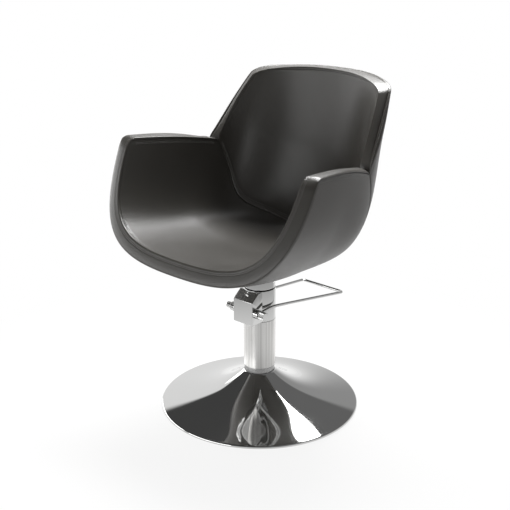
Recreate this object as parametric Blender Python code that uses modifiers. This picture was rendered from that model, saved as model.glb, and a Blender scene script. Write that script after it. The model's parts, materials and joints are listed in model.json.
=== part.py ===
"""Hydraulic salon chair: a padded tub seat that swivels and lifts on a column with a trumpet base.

Metres, +Z up. The chair faces -Y, stands on z = 0 and turns about the Z axis.
"""
import math
from collections import namedtuple

import bmesh
import bpy
import numpy as np

# Clearances
FIT = 0.0003            # between turned and seated pieces
PAD_FIT = 0.0004        # between the upholstered layers
BAND_FIT = 0.0010       # between the bands and what they run round
PUMP_ROOM = 0.0015      # round what turns and slides inside the pump head
PLATE_ROOM = 0.0005     # between the weight plate's edge and the sheet over it
CUT_PAST = 0.01         # how far a cutter runs on past the face that it opens

# Floor pad, weight plate and trumpet cover
FLOOR_PAD_RADIUS = 0.180
FLOOR_PAD_THICKNESS = 0.004
WEIGHT_PLATE_THICKNESS = 0.010
BASE_RADIUS = 0.265
BASE_SHEET = 0.002
BASE_RIM_LIFT = 0.0025
BASE_RIM_ROUND = 0.0045
BASE_NECK_TOP = 0.102
BASE_FLARE = 1.8

# Column
SPIGOT_RADIUS = 0.0395
SPIGOT_SHOULDER = 0.1157
SPIGOT_REGISTER = 0.034
FLANGE_RADIUS = 0.066
FLANGE_THICKNESS = 0.010
FLANGE_BOLT_EDGE = 0.013    # from the bolt circle to the flange's edge
FLANGE_BOLT_RADIUS = 0.005
BOLT_COUNT = 4
COLUMN_RADIUS = 0.0425
COLUMN_WALL = 0.005
COLUMN_TOP = 0.2495

# Hydraulic cylinder and ram
CYLINDER_RADIUS = 0.0320
CYLINDER_BORE = 0.0285
CYLINDER_FOOT_THICKNESS = 0.018
CYLINDER_PLUG_HEIGHT = 0.009
CYLINDER_TOP = 0.300
PISTON_BASE = 0.110
PISTON_THICKNESS = 0.018
PISTON_GROOVE_DEPTH = 0.003
PISTON_GROOVE_WIDTH = 0.006
RAM_RADIUS = 0.018
GLAND_RADIUS = 0.0235
GUIDE_LENGTH = 0.024
WIPER_STAND = 0.0025

# Pump head with its square block
HEAD_TOP = 0.335
BLOCK_HALF_WIDTH = 0.033
BLOCK_REACH = 0.0225        # from the column's wall to the block's front face
BLOCK_SHOULDER = 0.313
BLOCK_TOP = 0.3335
BLOCK_SLOPE_DEPTH = 0.025   # from the front face to the top of the sloping face
BLOCK_BEVEL = 0.0012
VALVE_HEAD_RADIUS = 0.0055
VALVE_HEAD_HEIGHT = 0.004
VALVE_SHANK_RADIUS = 0.004
VALVE_SHANK_LENGTH = 0.008
VALVE_PLACE = 0.70      # share of the chamfer, from its lower edge

# Lever, its shaft and the pump plunger
SHAFT_SETBACK = 0.013       # from the block's front face
SHAFT_Z = 0.2825
SHAFT_RADIUS = 0.006
LOBE_THROW = 0.009
LOBE_RADIUS = 0.0065
LOBE_HALF_WIDTH = 0.0055
LOBE_POINTS = 7
LEVER_STROKE_DEG = 24.0
HUB_RADIUS = 0.0125
HUB_LENGTH = 0.015
STUB_RADIUS = 0.0085
STUB_LENGTH = 0.017
STUB_NOSE = 0.0026
NUT_RADIUS = 0.0105
NUT_LENGTH = 0.019
NUT_RIBS = 12
NUT_RIB_DEPTH = 0.0005
SHAFT_END = 0.008       # how far the shaft runs into the cap and the nut
ROD_RADIUS = 0.0037
ROD_KNEE = (0.0505, -0.004, 0.2935)
ROD_END = (0.072, 0.267, 0.2600)
ROD_KNEE_ROUND = 0.020
ROD_CORNER_ROUND = 0.012
PLUNGER_HEAD_RADIUS = 0.006
PLUNGER_HEAD_HEIGHT = 0.0035
PLUNGER_STEM_RADIUS = 0.0033
PLUNGER_STEM_END = 0.2560
SPRING_COIL_RADIUS = 0.0052
SPRING_WIRE_RADIUS = 0.0007
SPRING_TURNS = 4
SPRING_POINTS = 9       # in each turn
SPRING_POCKET_FLOOR = 0.2600

# Seat collar, swivel bearing and seat plate
COLLAR_RADIUS = 0.041
COLLAR_CAP = 0.009
SWIVEL_BUSH_WALL = 0.003
THRUST_WASHER_THICKNESS = 0.003
SEAT_PLATE_MARGIN = 0.017   # past the collar, room for the bolt heads
SEAT_PLATE_THICKNESS = 0.006
SEAT_PLATE_SINK = 0.007
SEAT_BOLT_RADIUS = 0.004
SEAT_BOLT_LENGTH = 0.026
BOLT_HEAD_SCALE = 1.7
BOLT_HEAD_HEIGHT = 0.005

# Tub shell. Five stations run from the front edge, under the sitter, to the top of the back.
# rim: point on the arm or back edge (x, y, z). keel: point on the centre line (y, z).
# wall and floor: how far the section stays upright and level. lead: how early it runs forward.
# lean: how soon the section leaves the edge towards the middle.
Station = namedtuple("Station", "place rim keel wall floor lead lean")
LINING = (
    Station(0.00, (0.288, -0.177, 0.717), (-0.287, 0.480), 0.91, 0.66, 0.1, 0.00),
    Station(0.25, (0.262, -0.035, 0.702), (-0.045, 0.446), 0.85, 0.72, 0.3, 0.00),
    Station(0.50, (0.239, 0.095, 0.678), (0.170, 0.447), 0.70, 0.62, 0.0, 0.02),
    Station(0.75, (0.227, 0.154, 0.776), (0.248, 0.655), 0.40, 0.55, 0.0, 0.15),
    Station(1.00, (0.207, 0.212, 0.853), (0.275, 0.871), 0.33, 0.60, 0.0, 0.25),
)
OUTSIDE = (
    Station(0.00, (0.326, -0.173, 0.720), (-0.306, 0.446), 0.91, 0.65, -0.1, 0.00),
    Station(0.25, (0.300, -0.028, 0.707), (-0.060, 0.378), 0.76, 0.42, 0.2, 0.00),
    Station(0.50, (0.272, 0.090, 0.676), (0.175, 0.407), 0.70, 0.57, 0.0, 0.05),
    Station(0.75, (0.260, 0.162, 0.766), (0.285, 0.590), 0.59, 0.42, 0.0, 0.24),
    Station(1.00, (0.230, 0.237, 0.863), (0.330, 0.870), 0.33, 0.60, 0.0, 0.30),
)
ARM_CORNER_ROUND = 0.030
TOP_CORNER_ROUND = 0.042
BAND_DEPTH = 0.007
BAND_CROWN = 0.004
SEAM_DIP = 0.045        # how far the seam of seat and back runs forward on the walls, as a share of t
SEAM_DIP_PLACE = 0.59   # where it does so, from keel to rim
SEAM_DIP_REACH = 0.19
SEAM_RISE = 0.018       # and how far it runs up over the keel
SEAM_RISE_POWER = 8     # the higher, the closer to the rim the rise ends
SEAM_PULL = 0.005       # how far a panel is drawn in at its seams
SEAM_POWER = 8          # the higher, the closer to the seam the panel is drawn in
PAD_SHARE = 0.36        # of the shell's thickness, for the pads inside
COVER_SHARE = 0.24      # and for the covers outside
# Cells of the shell, closer together at the bends and the rounded corners
ACROSS = (0.0, 0.17, 0.32, 0.44, 0.55, 0.66, 0.77, 0.87, 0.93, 0.97, 1.0)   # keel to rim
ALONG = (0.0, 0.17, 0.34, 0.51, 0.67, 0.80, 0.89, 0.95, 0.98, 1.0)          # seam to end band

SIDES_LARGE = 44
SIDES_COLUMN = 28
SIDES_SMALL = 14
SIDES_BOLT = 10
FLARE_POINTS = 8
RIM_POINTS = 4
ROD_ARC_POINTS = 5
RUN_SPAN = 0.05         # of t, over which the shell's length is measured
KEEL_SAMPLES = 400
SHARP_ANGLE_DEG = 50.0


# Scene, materials and object helpers
def clear_scene():
    for item in list(bpy.data.objects):
        bpy.data.objects.remove(item, do_unlink=True)


def new_collection(name):
    collection = bpy.data.collections.new(name)
    bpy.context.scene.collection.children.link(collection)
    return collection


def new_material(name, colour, roughness, metallic):
    material = bpy.data.materials.new(name)
    material.use_nodes = True
    shader = material.node_tree.nodes["Principled BSDF"]
    shader.inputs["Base Color"].default_value = (*colour, 1.0)
    shader.inputs["Roughness"].default_value = roughness
    shader.inputs["Metallic"].default_value = metallic
    return material


def add_part(name, mesh, finish):
    """Link a mesh as a named part with a material of its own."""
    part = bpy.data.objects.new(name, mesh)
    part.data.materials.append(new_material(name, *finish))
    PARTS.objects.link(part)
    return part


def as_cutter(name, mesh):
    cutter = bpy.data.objects.new(name, mesh)
    cutter.hide_render = True
    cutter.display_type = "WIRE"
    CUTTERS.objects.link(cutter)
    return cutter


def boolean(part, cutter, operation="DIFFERENCE"):
    step = part.modifiers.new(cutter.name, "BOOLEAN")
    step.operation = operation
    step.object = cutter
    step.solver = "EXACT"


def carried_by(name, place, parts):
    """An empty on a joint's axis that carries the moving pieces."""
    axis = bpy.data.objects.new(name, None)
    axis.location = place
    PARTS.objects.link(axis)
    bpy.context.view_layer.update()
    for part in parts:
        part.parent = axis
        part.matrix_parent_inverse = axis.matrix_world.inverted()


# Turned pieces
def turned_profile(name, points, closed):
    mesh = bpy.data.meshes.new(name)
    count = len(points)
    edges = [(i, i + 1) for i in range(count - 1)]
    if closed:
        edges.append((count - 1, 0))
    mesh.from_pydata([(r, 0.0, z) for r, z in points], edges, [])
    return mesh


def add_screw(part, sides):
    spin = part.modifiers.new("spin", "SCREW")
    spin.steps = sides
    spin.render_steps = sides
    spin.use_merge_vertices = True
    spin.merge_threshold = 0.00001
    spin.use_smooth_shade = True


def turned(name, points, finish, sides=SIDES_COLUMN, closed=False):
    """A profile of (radius, height) points, down its outer side, spun about Z."""
    part = add_part(name, turned_profile(name, points, closed), finish)
    add_screw(part, sides)
    return part


def ring_points(inner, outer, low, high):
    return [(outer, high), (outer, low), (inner, low), (inner, high)]


def disc_points(radius, low, high):
    return [(0.0, high), (radius, high), (radius, low), (0.0, low)]


def ring(name, inner, outer, low, high, finish, sides=SIDES_COLUMN):
    return turned(name, ring_points(inner, outer, low, high), finish, sides, closed=True)


def disc(name, radius, low, high, finish, sides=SIDES_COLUMN):
    return turned(name, disc_points(radius, low, high), finish, sides)


def bolt_points(shank, length, head_height=BOLT_HEAD_HEIGHT, scale=BOLT_HEAD_SCALE):
    """Cap screw along Z: its head stands above z = 0 and its shank hangs below."""
    head = shank * scale
    return [(0.0, head_height), (head, head_height), (head, 0.0),
            (shank, 0.0), (shank, -length), (0.0, -length)]


def cylinder_mesh(name, radius, low, high, sides, places=((0.0, 0.0),)):
    """One upright cylinder at each (x, y) place, in a single mesh."""
    builder = bmesh.new()
    for x, y in places:
        made = bmesh.ops.create_cone(builder, cap_ends=True, segments=sides, radius1=radius,
                                     radius2=radius, depth=high - low)
        bmesh.ops.translate(builder, verts=made["verts"], vec=(x, y, (low + high) / 2))
    mesh = bpy.data.meshes.new(name)
    builder.to_mesh(mesh)
    builder.free()
    return mesh


def on_circle(radius, count):
    """Places evenly round Z, the first one half a step from +X."""
    turns = (np.arange(count) + 0.5) * 2 * math.pi / count
    return [(radius * math.cos(a), radius * math.sin(a)) for a in turns]


def prism_mesh(name, outline, half_width, bevel=0.0):
    """A (y, z) outline made solid from -half_width to +half_width along X."""
    builder = bmesh.new()
    corners = [builder.verts.new((-half_width, y, z)) for y, z in outline]
    side = builder.faces.new(corners)
    grown = bmesh.ops.extrude_face_region(builder, geom=[side])["geom"]
    moved = [item for item in grown if isinstance(item, bmesh.types.BMVert)]
    bmesh.ops.translate(builder, verts=moved, vec=(2 * half_width, 0.0, 0.0))
    bmesh.ops.recalc_face_normals(builder, faces=builder.faces[:])
    if bevel > 0.0:
        bmesh.ops.bevel(builder, geom=builder.edges[:], offset=bevel, segments=1, affect="EDGES")
    mesh = bpy.data.meshes.new(name)
    builder.to_mesh(mesh)
    builder.free()
    return mesh


# Base and column
def base_height(radius):
    """Outer surface of the trumpet: a power curve from the rim up to the neck."""
    share = (BASE_RADIUS - BASE_RIM_ROUND - radius) / (BASE_RADIUS - BASE_RIM_ROUND - BASE_NECK)
    return BASE_RIM_TOP + (BASE_NECK_TOP - BASE_RIM_TOP) * max(share, 0.0) ** BASE_FLARE


def base_reach(height):
    """Radius at which the trumpet's outer surface has a given height."""
    share = ((height - BASE_RIM_TOP) / (BASE_NECK_TOP - BASE_RIM_TOP)) ** (1 / BASE_FLARE)
    return BASE_RADIUS - BASE_RIM_ROUND - share * (BASE_RADIUS - BASE_RIM_ROUND - BASE_NECK)


def build_base():
    disc("floor_pad", FLOOR_PAD_RADIUS, 0.0, FLOOR_PAD_THICKNESS, RUBBER, SIDES_LARGE)
    plate = disc("weight_plate", WEIGHT_PLATE_RADIUS, WEIGHT_PLATE_BASE, WEIGHT_PLATE_TOP,
                 CAST_IRON, SIDES_LARGE)

    flare = np.linspace(BASE_NECK, BASE_RADIUS - BASE_RIM_ROUND, FLARE_POINTS)
    profile = [(r, base_height(r)) for r in flare]
    for turn in np.linspace(0.0, math.pi, RIM_POINTS + 1)[1:]:
        profile.append((BASE_RADIUS - BASE_RIM_ROUND + BASE_RIM_ROUND * math.sin(turn),
                        BASE_RIM_TOP - BASE_RIM_ROUND * (1 - math.cos(turn))))
    cover = turned("base_cover", profile, CHROME, SIDES_LARGE)
    wall = cover.modifiers.new("sheet", "SOLIDIFY")
    wall.thickness = BASE_SHEET
    wall.offset = -1.0

    register = COLUMN_RADIUS - COLUMN_WALL - FIT
    bore = CYLINDER_RADIUS + FIT
    flange_low = WEIGHT_PLATE_TOP + FIT
    flange_high = flange_low + FLANGE_THICKNESS
    spigot = turned("column_spigot", [
        (register, SPIGOT_SHOULDER + SPIGOT_REGISTER), (register, SPIGOT_SHOULDER),
        (SPIGOT_RADIUS, SPIGOT_SHOULDER), (SPIGOT_RADIUS, flange_high), (FLANGE_RADIUS, flange_high),
        (FLANGE_RADIUS, flange_low), (bore, flange_low), (bore, SPIGOT_SHOULDER + SPIGOT_REGISTER)],
        CHROME, closed=True)

    places = on_circle(FLANGE_BOLT_CIRCLE, BOLT_COUNT)
    reach = FLANGE_THICKNESS + WEIGHT_PLATE_THICKNESS - 2 * FIT
    holes = as_cutter("flange_bolt_holes", cylinder_mesh(
        "flange_bolt_holes", FLANGE_BOLT_RADIUS + FIT, flange_high - reach - 2 * FIT,
        flange_high + CUT_PAST, SIDES_BOLT, places))
    boolean(spigot, holes)
    boolean(plate, holes)
    for number, (x, y) in enumerate(places, 1):
        bolt = turned(f"flange_bolt_{number}", bolt_points(FLANGE_BOLT_RADIUS, reach), STEEL, SIDES_BOLT)
        bolt.location = (x, y, flange_high + FIT)

    ring("column_tube", COLUMN_RADIUS - COLUMN_WALL, COLUMN_RADIUS, SPIGOT_SHOULDER + FIT, COLUMN_TOP, SATIN)
    foot_top = flange_low + CYLINDER_FOOT_THICKNESS
    plug = CYLINDER_BORE - FIT
    turned("cylinder_foot", [
        (0.0, foot_top + CYLINDER_PLUG_HEIGHT), (plug, foot_top + CYLINDER_PLUG_HEIGHT), (plug, foot_top),
        (CYLINDER_RADIUS, foot_top), (CYLINDER_RADIUS, flange_low), (0.0, flange_low)], STEEL)
    ring("cylinder_tube", CYLINDER_BORE, CYLINDER_RADIUS, foot_top + FIT, CYLINDER_TOP, STEEL)


# Pump head, lever and plunger
def chamfer_frame():
    """Middle of the valve screw on the block's sloping face, and the slope's angle."""
    run = BLOCK_TOP_EDGE - BLOCK_FRONT
    rise = BLOCK_TOP - BLOCK_SHOULDER
    place = (0.0, BLOCK_FRONT + run * VALVE_PLACE, BLOCK_SHOULDER + rise * VALVE_PLACE)
    return place, math.atan2(rise, run)


def across(part):
    """Turn a piece made along Z to lie along X on the lever shaft."""
    part.location = (0.0, SHAFT_Y, SHAFT_Z)
    part.rotation_euler = (0.0, math.pi / 2, 0.0)
    return part


def build_pump_head():
    head_base = COLUMN_TOP + FIT
    head = add_part("pump_head", cylinder_mesh(
        "pump_head", COLUMN_RADIUS, head_base, HEAD_TOP, SIDES_COLUMN), CHROME)
    outline = [(BLOCK_FRONT, head_base), (BLOCK_FRONT, BLOCK_SHOULDER), (BLOCK_TOP_EDGE, BLOCK_TOP),
               (0.0, BLOCK_TOP), (0.0, head_base)]
    block = as_cutter("head_block", prism_mesh("head_block", outline, BLOCK_HALF_WIDTH, BLOCK_BEVEL))
    boolean(head, block, "UNION")

    boolean(head, as_cutter("cylinder_seat", cylinder_mesh(
        "cylinder_seat", CYLINDER_RADIUS + FIT, head_base - CUT_PAST, CYLINDER_TOP + FIT, SIDES_COLUMN)))
    boolean(head, as_cutter("gland_bore", cylinder_mesh(
        "gland_bore", GLAND_RADIUS + FIT, CYLINDER_TOP - CUT_PAST, HEAD_TOP + CUT_PAST, SIDES_COLUMN)))
    half_way = BLOCK_HALF_WIDTH + CUT_PAST
    boolean(head, across(as_cutter("shaft_hole", cylinder_mesh(
        "shaft_hole", SHAFT_RADIUS + FIT, -half_way, half_way, SIDES_SMALL))))

    low = SHAFT_Z - LOBE_RADIUS - LOBE_DROP - PUMP_ROOM
    high = SHAFT_Z + LOBE_RADIUS + PUMP_ROOM
    front = SHAFT_Y - SHAFT_RADIUS - PUMP_ROOM
    rear = PLUNGER_Y + LOBE_RADIUS + PUMP_ROOM
    boolean(head, as_cutter("lobe_room", prism_mesh(
        "lobe_room", [(front, low), (front, high), (rear, high), (rear, low)], LOBE_HALF_WIDTH + PUMP_ROOM)))
    pocket = SPRING_COIL_RADIUS + SPRING_WIRE_RADIUS + PUMP_ROOM
    boolean(head, as_cutter("spring_pocket", cylinder_mesh(
        "spring_pocket", pocket, SPRING_POCKET_FLOOR, low + PUMP_ROOM, SIDES_SMALL, [(0.0, PLUNGER_Y)])))
    boolean(head, as_cutter("stem_hole", cylinder_mesh(
        "stem_hole", PLUNGER_STEM_RADIUS + FIT, PLUNGER_STEM_END - PLUNGER_TRAVEL - FIT,
        SPRING_POCKET_FLOOR + PUMP_ROOM, SIDES_SMALL, [(0.0, PLUNGER_Y)])))

    place, slope = chamfer_frame()
    valve_hole = as_cutter("valve_hole", cylinder_mesh(
        "valve_hole", VALVE_SHANK_RADIUS + FIT, -VALVE_SHANK_LENGTH - FIT, CUT_PAST, SIDES_SMALL))
    valve_hole.location = place
    valve_hole.rotation_euler = (slope, 0.0, 0.0)
    boolean(head, valve_hole)
    head_scale = VALVE_HEAD_RADIUS / VALVE_SHANK_RADIUS
    valve = turned("valve_screw", bolt_points(
        VALVE_SHANK_RADIUS, VALVE_SHANK_LENGTH - FIT, VALVE_HEAD_HEIGHT, head_scale), STEEL, SIDES_SMALL)
    valve.location = (place[0], place[1] - FIT * math.sin(slope), place[2] + FIT * math.cos(slope))
    valve.rotation_euler = (slope, 0.0, 0.0)

    gland_low = CYLINDER_TOP + FIT
    gland_mid = gland_low + GUIDE_LENGTH
    ring("guide_bush", RAM_RADIUS + FIT, GLAND_RADIUS, gland_low, gland_mid, BRONZE)
    ring("wiper_seal", RAM_RADIUS + FIT, GLAND_RADIUS, gland_mid + FIT, HEAD_TOP + WIPER_STAND, RUBBER)


def rounded_path(points, rounds, steps=ROD_ARC_POINTS):
    """Polyline whose inner corners are replaced by quadratic arcs of the given reach."""
    points = [np.array(p) for p in points]
    path = [points[0]]
    for before, corner, after, reach in zip(points, points[1:], points[2:], rounds):
        start = corner + (before - corner) / np.linalg.norm(before - corner) * reach
        end = corner + (after - corner) / np.linalg.norm(after - corner) * reach
        for u in np.linspace(0.0, 1.0, steps):
            path.append(start * (1 - u) ** 2 + corner * 2 * u * (1 - u) + end * u ** 2)
    path.append(points[-1])
    return path


def rod(name, path, radius, finish, resolution):
    """A round rod along a polyline, with filled ends."""
    curve = bpy.data.curves.new(name, "CURVE")
    curve.dimensions = "3D"
    curve.bevel_depth = radius
    curve.bevel_resolution = resolution
    curve.use_fill_caps = True
    spline = curve.splines.new("POLY")
    spline.points.add(len(path) - 1)
    for point, place in zip(spline.points, path):
        point.co = (*place, 1.0)
    return add_part(name, curve, finish)


def knurled_nut(low):
    """Ribbed nut: a cylinder whose sides stand in and out by turns, with a blind bore."""
    nut = add_part("lever_nut", cylinder_mesh(
        "lever_nut", NUT_RADIUS, low, low + NUT_LENGTH, 2 * NUT_RIBS), CHROME)
    for vertex in nut.data.vertices:
        turn = math.atan2(vertex.co.y, vertex.co.x)
        depth = 1.0 + NUT_RIB_DEPTH / NUT_RADIUS * math.cos(turn * NUT_RIBS)
        vertex.co.x *= depth
        vertex.co.y *= depth
    boolean(nut, across(as_cutter("nut_bore", cylinder_mesh(
        "nut_bore", SHAFT_RADIUS + FIT, low - CUT_PAST, low + SHAFT_END + FIT, SIDES_SMALL))))
    return across(nut)


def build_lever():
    hub_start = BLOCK_HALF_WIDTH + FIT
    hub_end = hub_start + HUB_LENGTH
    half_shaft = hub_end + SHAFT_END
    shaft = across(disc("lever_shaft", SHAFT_RADIUS, -half_shaft, half_shaft, STEEL, SIDES_SMALL))
    turns = np.linspace(-math.pi / 2, math.pi / 2, LOBE_POINTS)
    outline = [(LOBE_THROW + LOBE_RADIUS * math.cos(a), LOBE_RADIUS * math.sin(a)) for a in turns]
    outline += [(0.0, SHAFT_RADIUS - FIT), (0.0, FIT - SHAFT_RADIUS)]
    lobe = as_cutter("shaft_lobe", prism_mesh("shaft_lobe", outline, LOBE_HALF_WIDTH))
    lobe.location = (0.0, SHAFT_Y, SHAFT_Z)
    boolean(shaft, lobe, "UNION")

    bore = SHAFT_RADIUS + FIT
    hub_right = across(ring("lever_hub_right", bore, HUB_RADIUS, hub_start, hub_end, CHROME, SIDES_SMALL))
    hub_left = across(ring("lever_hub_left", bore, HUB_RADIUS, -hub_end, -hub_start, CHROME, SIDES_SMALL))
    inside = -half_shaft - FIT
    mouth = -hub_end - FIT
    stub_end = mouth - STUB_LENGTH
    stub = across(turned("lever_cap", [
        (bore, mouth), (STUB_RADIUS, mouth), (STUB_RADIUS, stub_end + STUB_NOSE),
        (STUB_RADIUS - STUB_NOSE, stub_end), (0.0, stub_end), (0.0, inside), (bore, inside)],
        CHROME, SIDES_SMALL, True))
    nut = knurled_nut(hub_end + FIT)

    middle = np.array([hub_start + HUB_LENGTH / 2, SHAFT_Y, SHAFT_Z])
    aim = np.array(ROD_KNEE) - middle
    tilt = ROD_RADIUS * abs(aim[0]) / np.linalg.norm(aim)
    start = middle + aim * (HUB_RADIUS + tilt + FIT) / math.hypot(aim[1], aim[2])
    half = [tuple(start), ROD_KNEE, ROD_END]
    other = [(-x, y, z) for x, y, z in reversed(half)]
    rounds = [ROD_KNEE_ROUND, ROD_CORNER_ROUND, ROD_CORNER_ROUND, ROD_KNEE_ROUND]
    loop = rod("lever_loop", rounded_path(half + other, rounds), ROD_RADIUS, CHROME, 3)
    carried_by("lever_axis", (0.0, SHAFT_Y, SHAFT_Z), [shaft, hub_right, hub_left, stub, nut, loop])

    top = SHAFT_Z - LOBE_RADIUS - FIT
    under = top - PLUNGER_HEAD_HEIGHT
    plunger = turned("pump_plunger", [
        (0.0, top), (PLUNGER_HEAD_RADIUS, top), (PLUNGER_HEAD_RADIUS, under), (PLUNGER_STEM_RADIUS, under),
        (PLUNGER_STEM_RADIUS, PLUNGER_STEM_END), (0.0, PLUNGER_STEM_END)], STEEL, SIDES_SMALL)
    plunger.location = (0.0, PLUNGER_Y, 0.0)
    carried_by("plunger_axis", (0.0, PLUNGER_Y, top), [plunger])

    low = SPRING_POCKET_FLOOR + SPRING_WIRE_RADIUS + FIT
    high = under - SPRING_WIRE_RADIUS - FIT
    turns = np.linspace(0.0, 2 * math.pi * SPRING_TURNS, SPRING_POINTS * SPRING_TURNS + 1)
    coil = [(SPRING_COIL_RADIUS * math.cos(a), PLUNGER_Y + SPRING_COIL_RADIUS * math.sin(a),
             low + (high - low) * a / turns[-1]) for a in turns]
    rod("plunger_spring", coil, SPRING_WIRE_RADIUS, STEEL, 1)
    points = np.array(coil)
    step = np.linalg.norm(points[SPRING_POINTS:] - points[:-SPRING_POINTS], axis=1).min()
    gap = step - 2 * SPRING_WIRE_RADIUS
    print("plunger spring: least gap between turns", round(gap * 1000, 2), "mm")


# Ram, collar and seat plate
def build_ram():
    piston = CYLINDER_BORE - FIT
    top = PISTON_BASE + PISTON_THICKNESS
    groove_low = PISTON_BASE + (PISTON_THICKNESS - PISTON_GROOVE_WIDTH) / 2
    groove_high = groove_low + PISTON_GROOVE_WIDTH
    floor = piston - PISTON_GROOVE_DEPTH
    head = turned("ram_piston", [
        (0.0, top), (piston, top), (piston, groove_high), (floor, groove_high), (floor, groove_low),
        (piston, groove_low), (piston, PISTON_BASE), (0.0, PISTON_BASE)], STEEL)
    seal = ring("piston_seal", floor + FIT / 2, piston + FIT / 2, groove_low + FIT, groove_high - FIT, RUBBER)
    rod_part = disc("ram_rod", RAM_RADIUS, top + FIT, RAM_TOP, STEEL)
    carried_by("lift_axis", (0.0, 0.0, PISTON_BASE), [head, seal, rod_part])


def build_seat_mount():
    bush = RAM_RADIUS + FIT
    bush_outer = bush + SWIVEL_BUSH_WALL
    bore = bush_outer + FIT
    collar = turned("seat_collar", [
        (0.0, COLLAR_TOP), (COLLAR_RADIUS, COLLAR_TOP), (COLLAR_RADIUS, COLLAR_BASE), (bore, COLLAR_BASE),
        (bore, COLLAR_TOP - COLLAR_CAP), (0.0, COLLAR_TOP - COLLAR_CAP)], CHROME)
    liner = ring("swivel_bush", bush, bush_outer, COLLAR_BASE + FIT, RAM_TOP, BRONZE)
    washer = disc("thrust_washer", bush_outer, RAM_TOP + FIT, COLLAR_TOP - COLLAR_CAP - FIT, BRONZE)
    plate = disc("seat_plate", SEAT_PLATE_RADIUS, SEAT_PLATE_LOW, SEAT_PLATE_TOP, STEEL)

    places = on_circle(SEAT_BOLT_CIRCLE, BOLT_COUNT)
    holes = as_cutter("seat_bolt_holes", cylinder_mesh(
        "seat_bolt_holes", SEAT_BOLT_RADIUS + FIT, SEAT_PLATE_LOW - CUT_PAST,
        SEAT_PLATE_LOW + SEAT_BOLT_LENGTH + FIT, SIDES_BOLT, places))
    boolean(plate, holes)
    bolts = []
    profile = bolt_points(SEAT_BOLT_RADIUS, SEAT_BOLT_LENGTH)
    for number, (x, y) in enumerate(places, 1):
        bolt = turned(f"seat_bolt_{number}", profile, STEEL, SIDES_BOLT)
        bolt.location = (x, y, SEAT_PLATE_LOW - FIT)
        bolt.rotation_euler = (math.pi, 0.0, 0.0)
        bolts.append(bolt)
    recess = as_cutter("plate_recess", cylinder_mesh(
        "plate_recess", SEAT_PLATE_RADIUS + PAD_FIT, COLLAR_BASE, SEAT_PLATE_TOP + FIT, SIDES_COLUMN))
    return [collar, liner, washer, plate] + bolts, recess, holes


# Tub shell
def station_rows(stations):
    places = np.array([row.place for row in stations])
    values = np.array([(*row.rim, *row.keel, row.wall, row.floor, row.lead, row.lean) for row in stations])
    return places, values


def along_stations(stations, t):
    """Cubic through the stations. The rim's own slope breaks where the arm meets the back."""
    places, rows = station_rows(stations)
    slope = np.gradient(rows, places, axis=0)
    chord = np.diff(rows, axis=0) / np.diff(places)[:, None]
    slope[0] = 1.5 * chord[0] - 0.5 * slope[1]
    slope[-1] = 1.5 * chord[-1] - 0.5 * slope[-2]
    arrive, leave = slope.copy(), slope.copy()
    rim = slice(0, 3)
    arrive[ARM_JOINT, rim] = 1.5 * chord[ARM_JOINT - 1, rim] - 0.5 * slope[ARM_JOINT - 1, rim]
    leave[ARM_JOINT, rim] = 1.5 * chord[ARM_JOINT, rim] - 0.5 * slope[ARM_JOINT + 1, rim]
    k = np.clip(np.searchsorted(places, t, side="right") - 1, 0, len(places) - 2)
    step = (places[k + 1] - places[k])[..., None]
    u = (t - places[k])[..., None] / step
    return ((2 * u ** 3 - 3 * u ** 2 + 1) * rows[k] + (u ** 3 - 2 * u ** 2 + u) * step * leave[k]
            + (3 * u ** 2 - 2 * u ** 3) * rows[k + 1] + (u ** 3 - u ** 2) * step * arrive[k + 1])


def shell_face(stations, s, t):
    """Bezier section at station t, from the rim (s = -1 or 1) to the keel (s = 0)."""
    x, y, z, keel_y, keel_z, wall, floor, lead, lean = np.moveaxis(along_stations(stations, t), -1, 0)
    a = np.abs(s)
    u = 1 - a
    wide = np.sign(s) * x * (a ** 3 + 3 * a * a * u * (1 - lean) + 3 * a * u * u * floor)
    deep = 3 * a * a * u * wall + 3 * a * u * u + u ** 3
    ahead = deep * (1 + lead * (1 - deep))
    return np.stack([wide, y + (keel_y - y) * ahead, z + (keel_z - z) * deep], -1)


def rim_run(t):
    """Metres of wall per unit of s at the rim."""
    x, y, z, keel_y, keel_z, wall, _, _, lean = np.moveaxis(along_stations(LINING, t), -1, 0)
    return 3 * np.sqrt((x * lean) ** 2 + (np.hypot(keel_y - y, keel_z - z) * wall) ** 2)


def end_run(t0, t1):
    """Metres of shell per unit of t on the keel between two stations."""
    here, there = along_stations(LINING, np.array([t0, t1]))[:, 3:5]
    return np.linalg.norm(there - here) / (t1 - t0)


def round_corners(s, t):
    """Slide points near the arm and top corners inwards, so that those corners are arcs."""
    end = np.where(t < JOINT_PLACE, ARM_CORNER_ROUND / FRONT_RUN, TOP_CORNER_ROUND / TOP_RUN)
    reach = np.where(t < JOINT_PLACE, ARM_CORNER_ROUND, TOP_CORNER_ROUND)
    side = reach / rim_run(np.where(t < JOINT_PLACE, 0.0, 1.0))
    a = np.clip((np.abs(s) - 1 + side) / side, 0.0, 1.0)
    b = np.clip(1 - np.minimum(t, 1 - t) / end, 0.0, 1.0)
    s_in = side * a * (1 - np.sqrt(1 - b * b / 2))
    t_in = end * b * (1 - np.sqrt(1 - a * a / 2))
    return s - np.sign(s) * s_in, t + np.where(t < JOINT_PLACE, t_in, -t_in)


def bent_face(stations, s, t):
    """A face of the shell, moved near the joint so that its crease lies under the bent seam."""
    across = np.abs(s)
    dip = SEAM_DIP * np.exp(-((across - SEAM_DIP_PLACE) / SEAM_DIP_REACH) ** 2)
    joint = np.full(np.shape(s), JOINT_PLACE)
    seam = joint + SEAM_RISE * (1 - across ** SEAM_RISE_POWER) - dip
    move = shell_face(stations, s, seam) - shell_face(stations, s, joint)
    return shell_face(stations, s, t) + move * (4 * t * (1 - t))[..., None] ** 2


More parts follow.
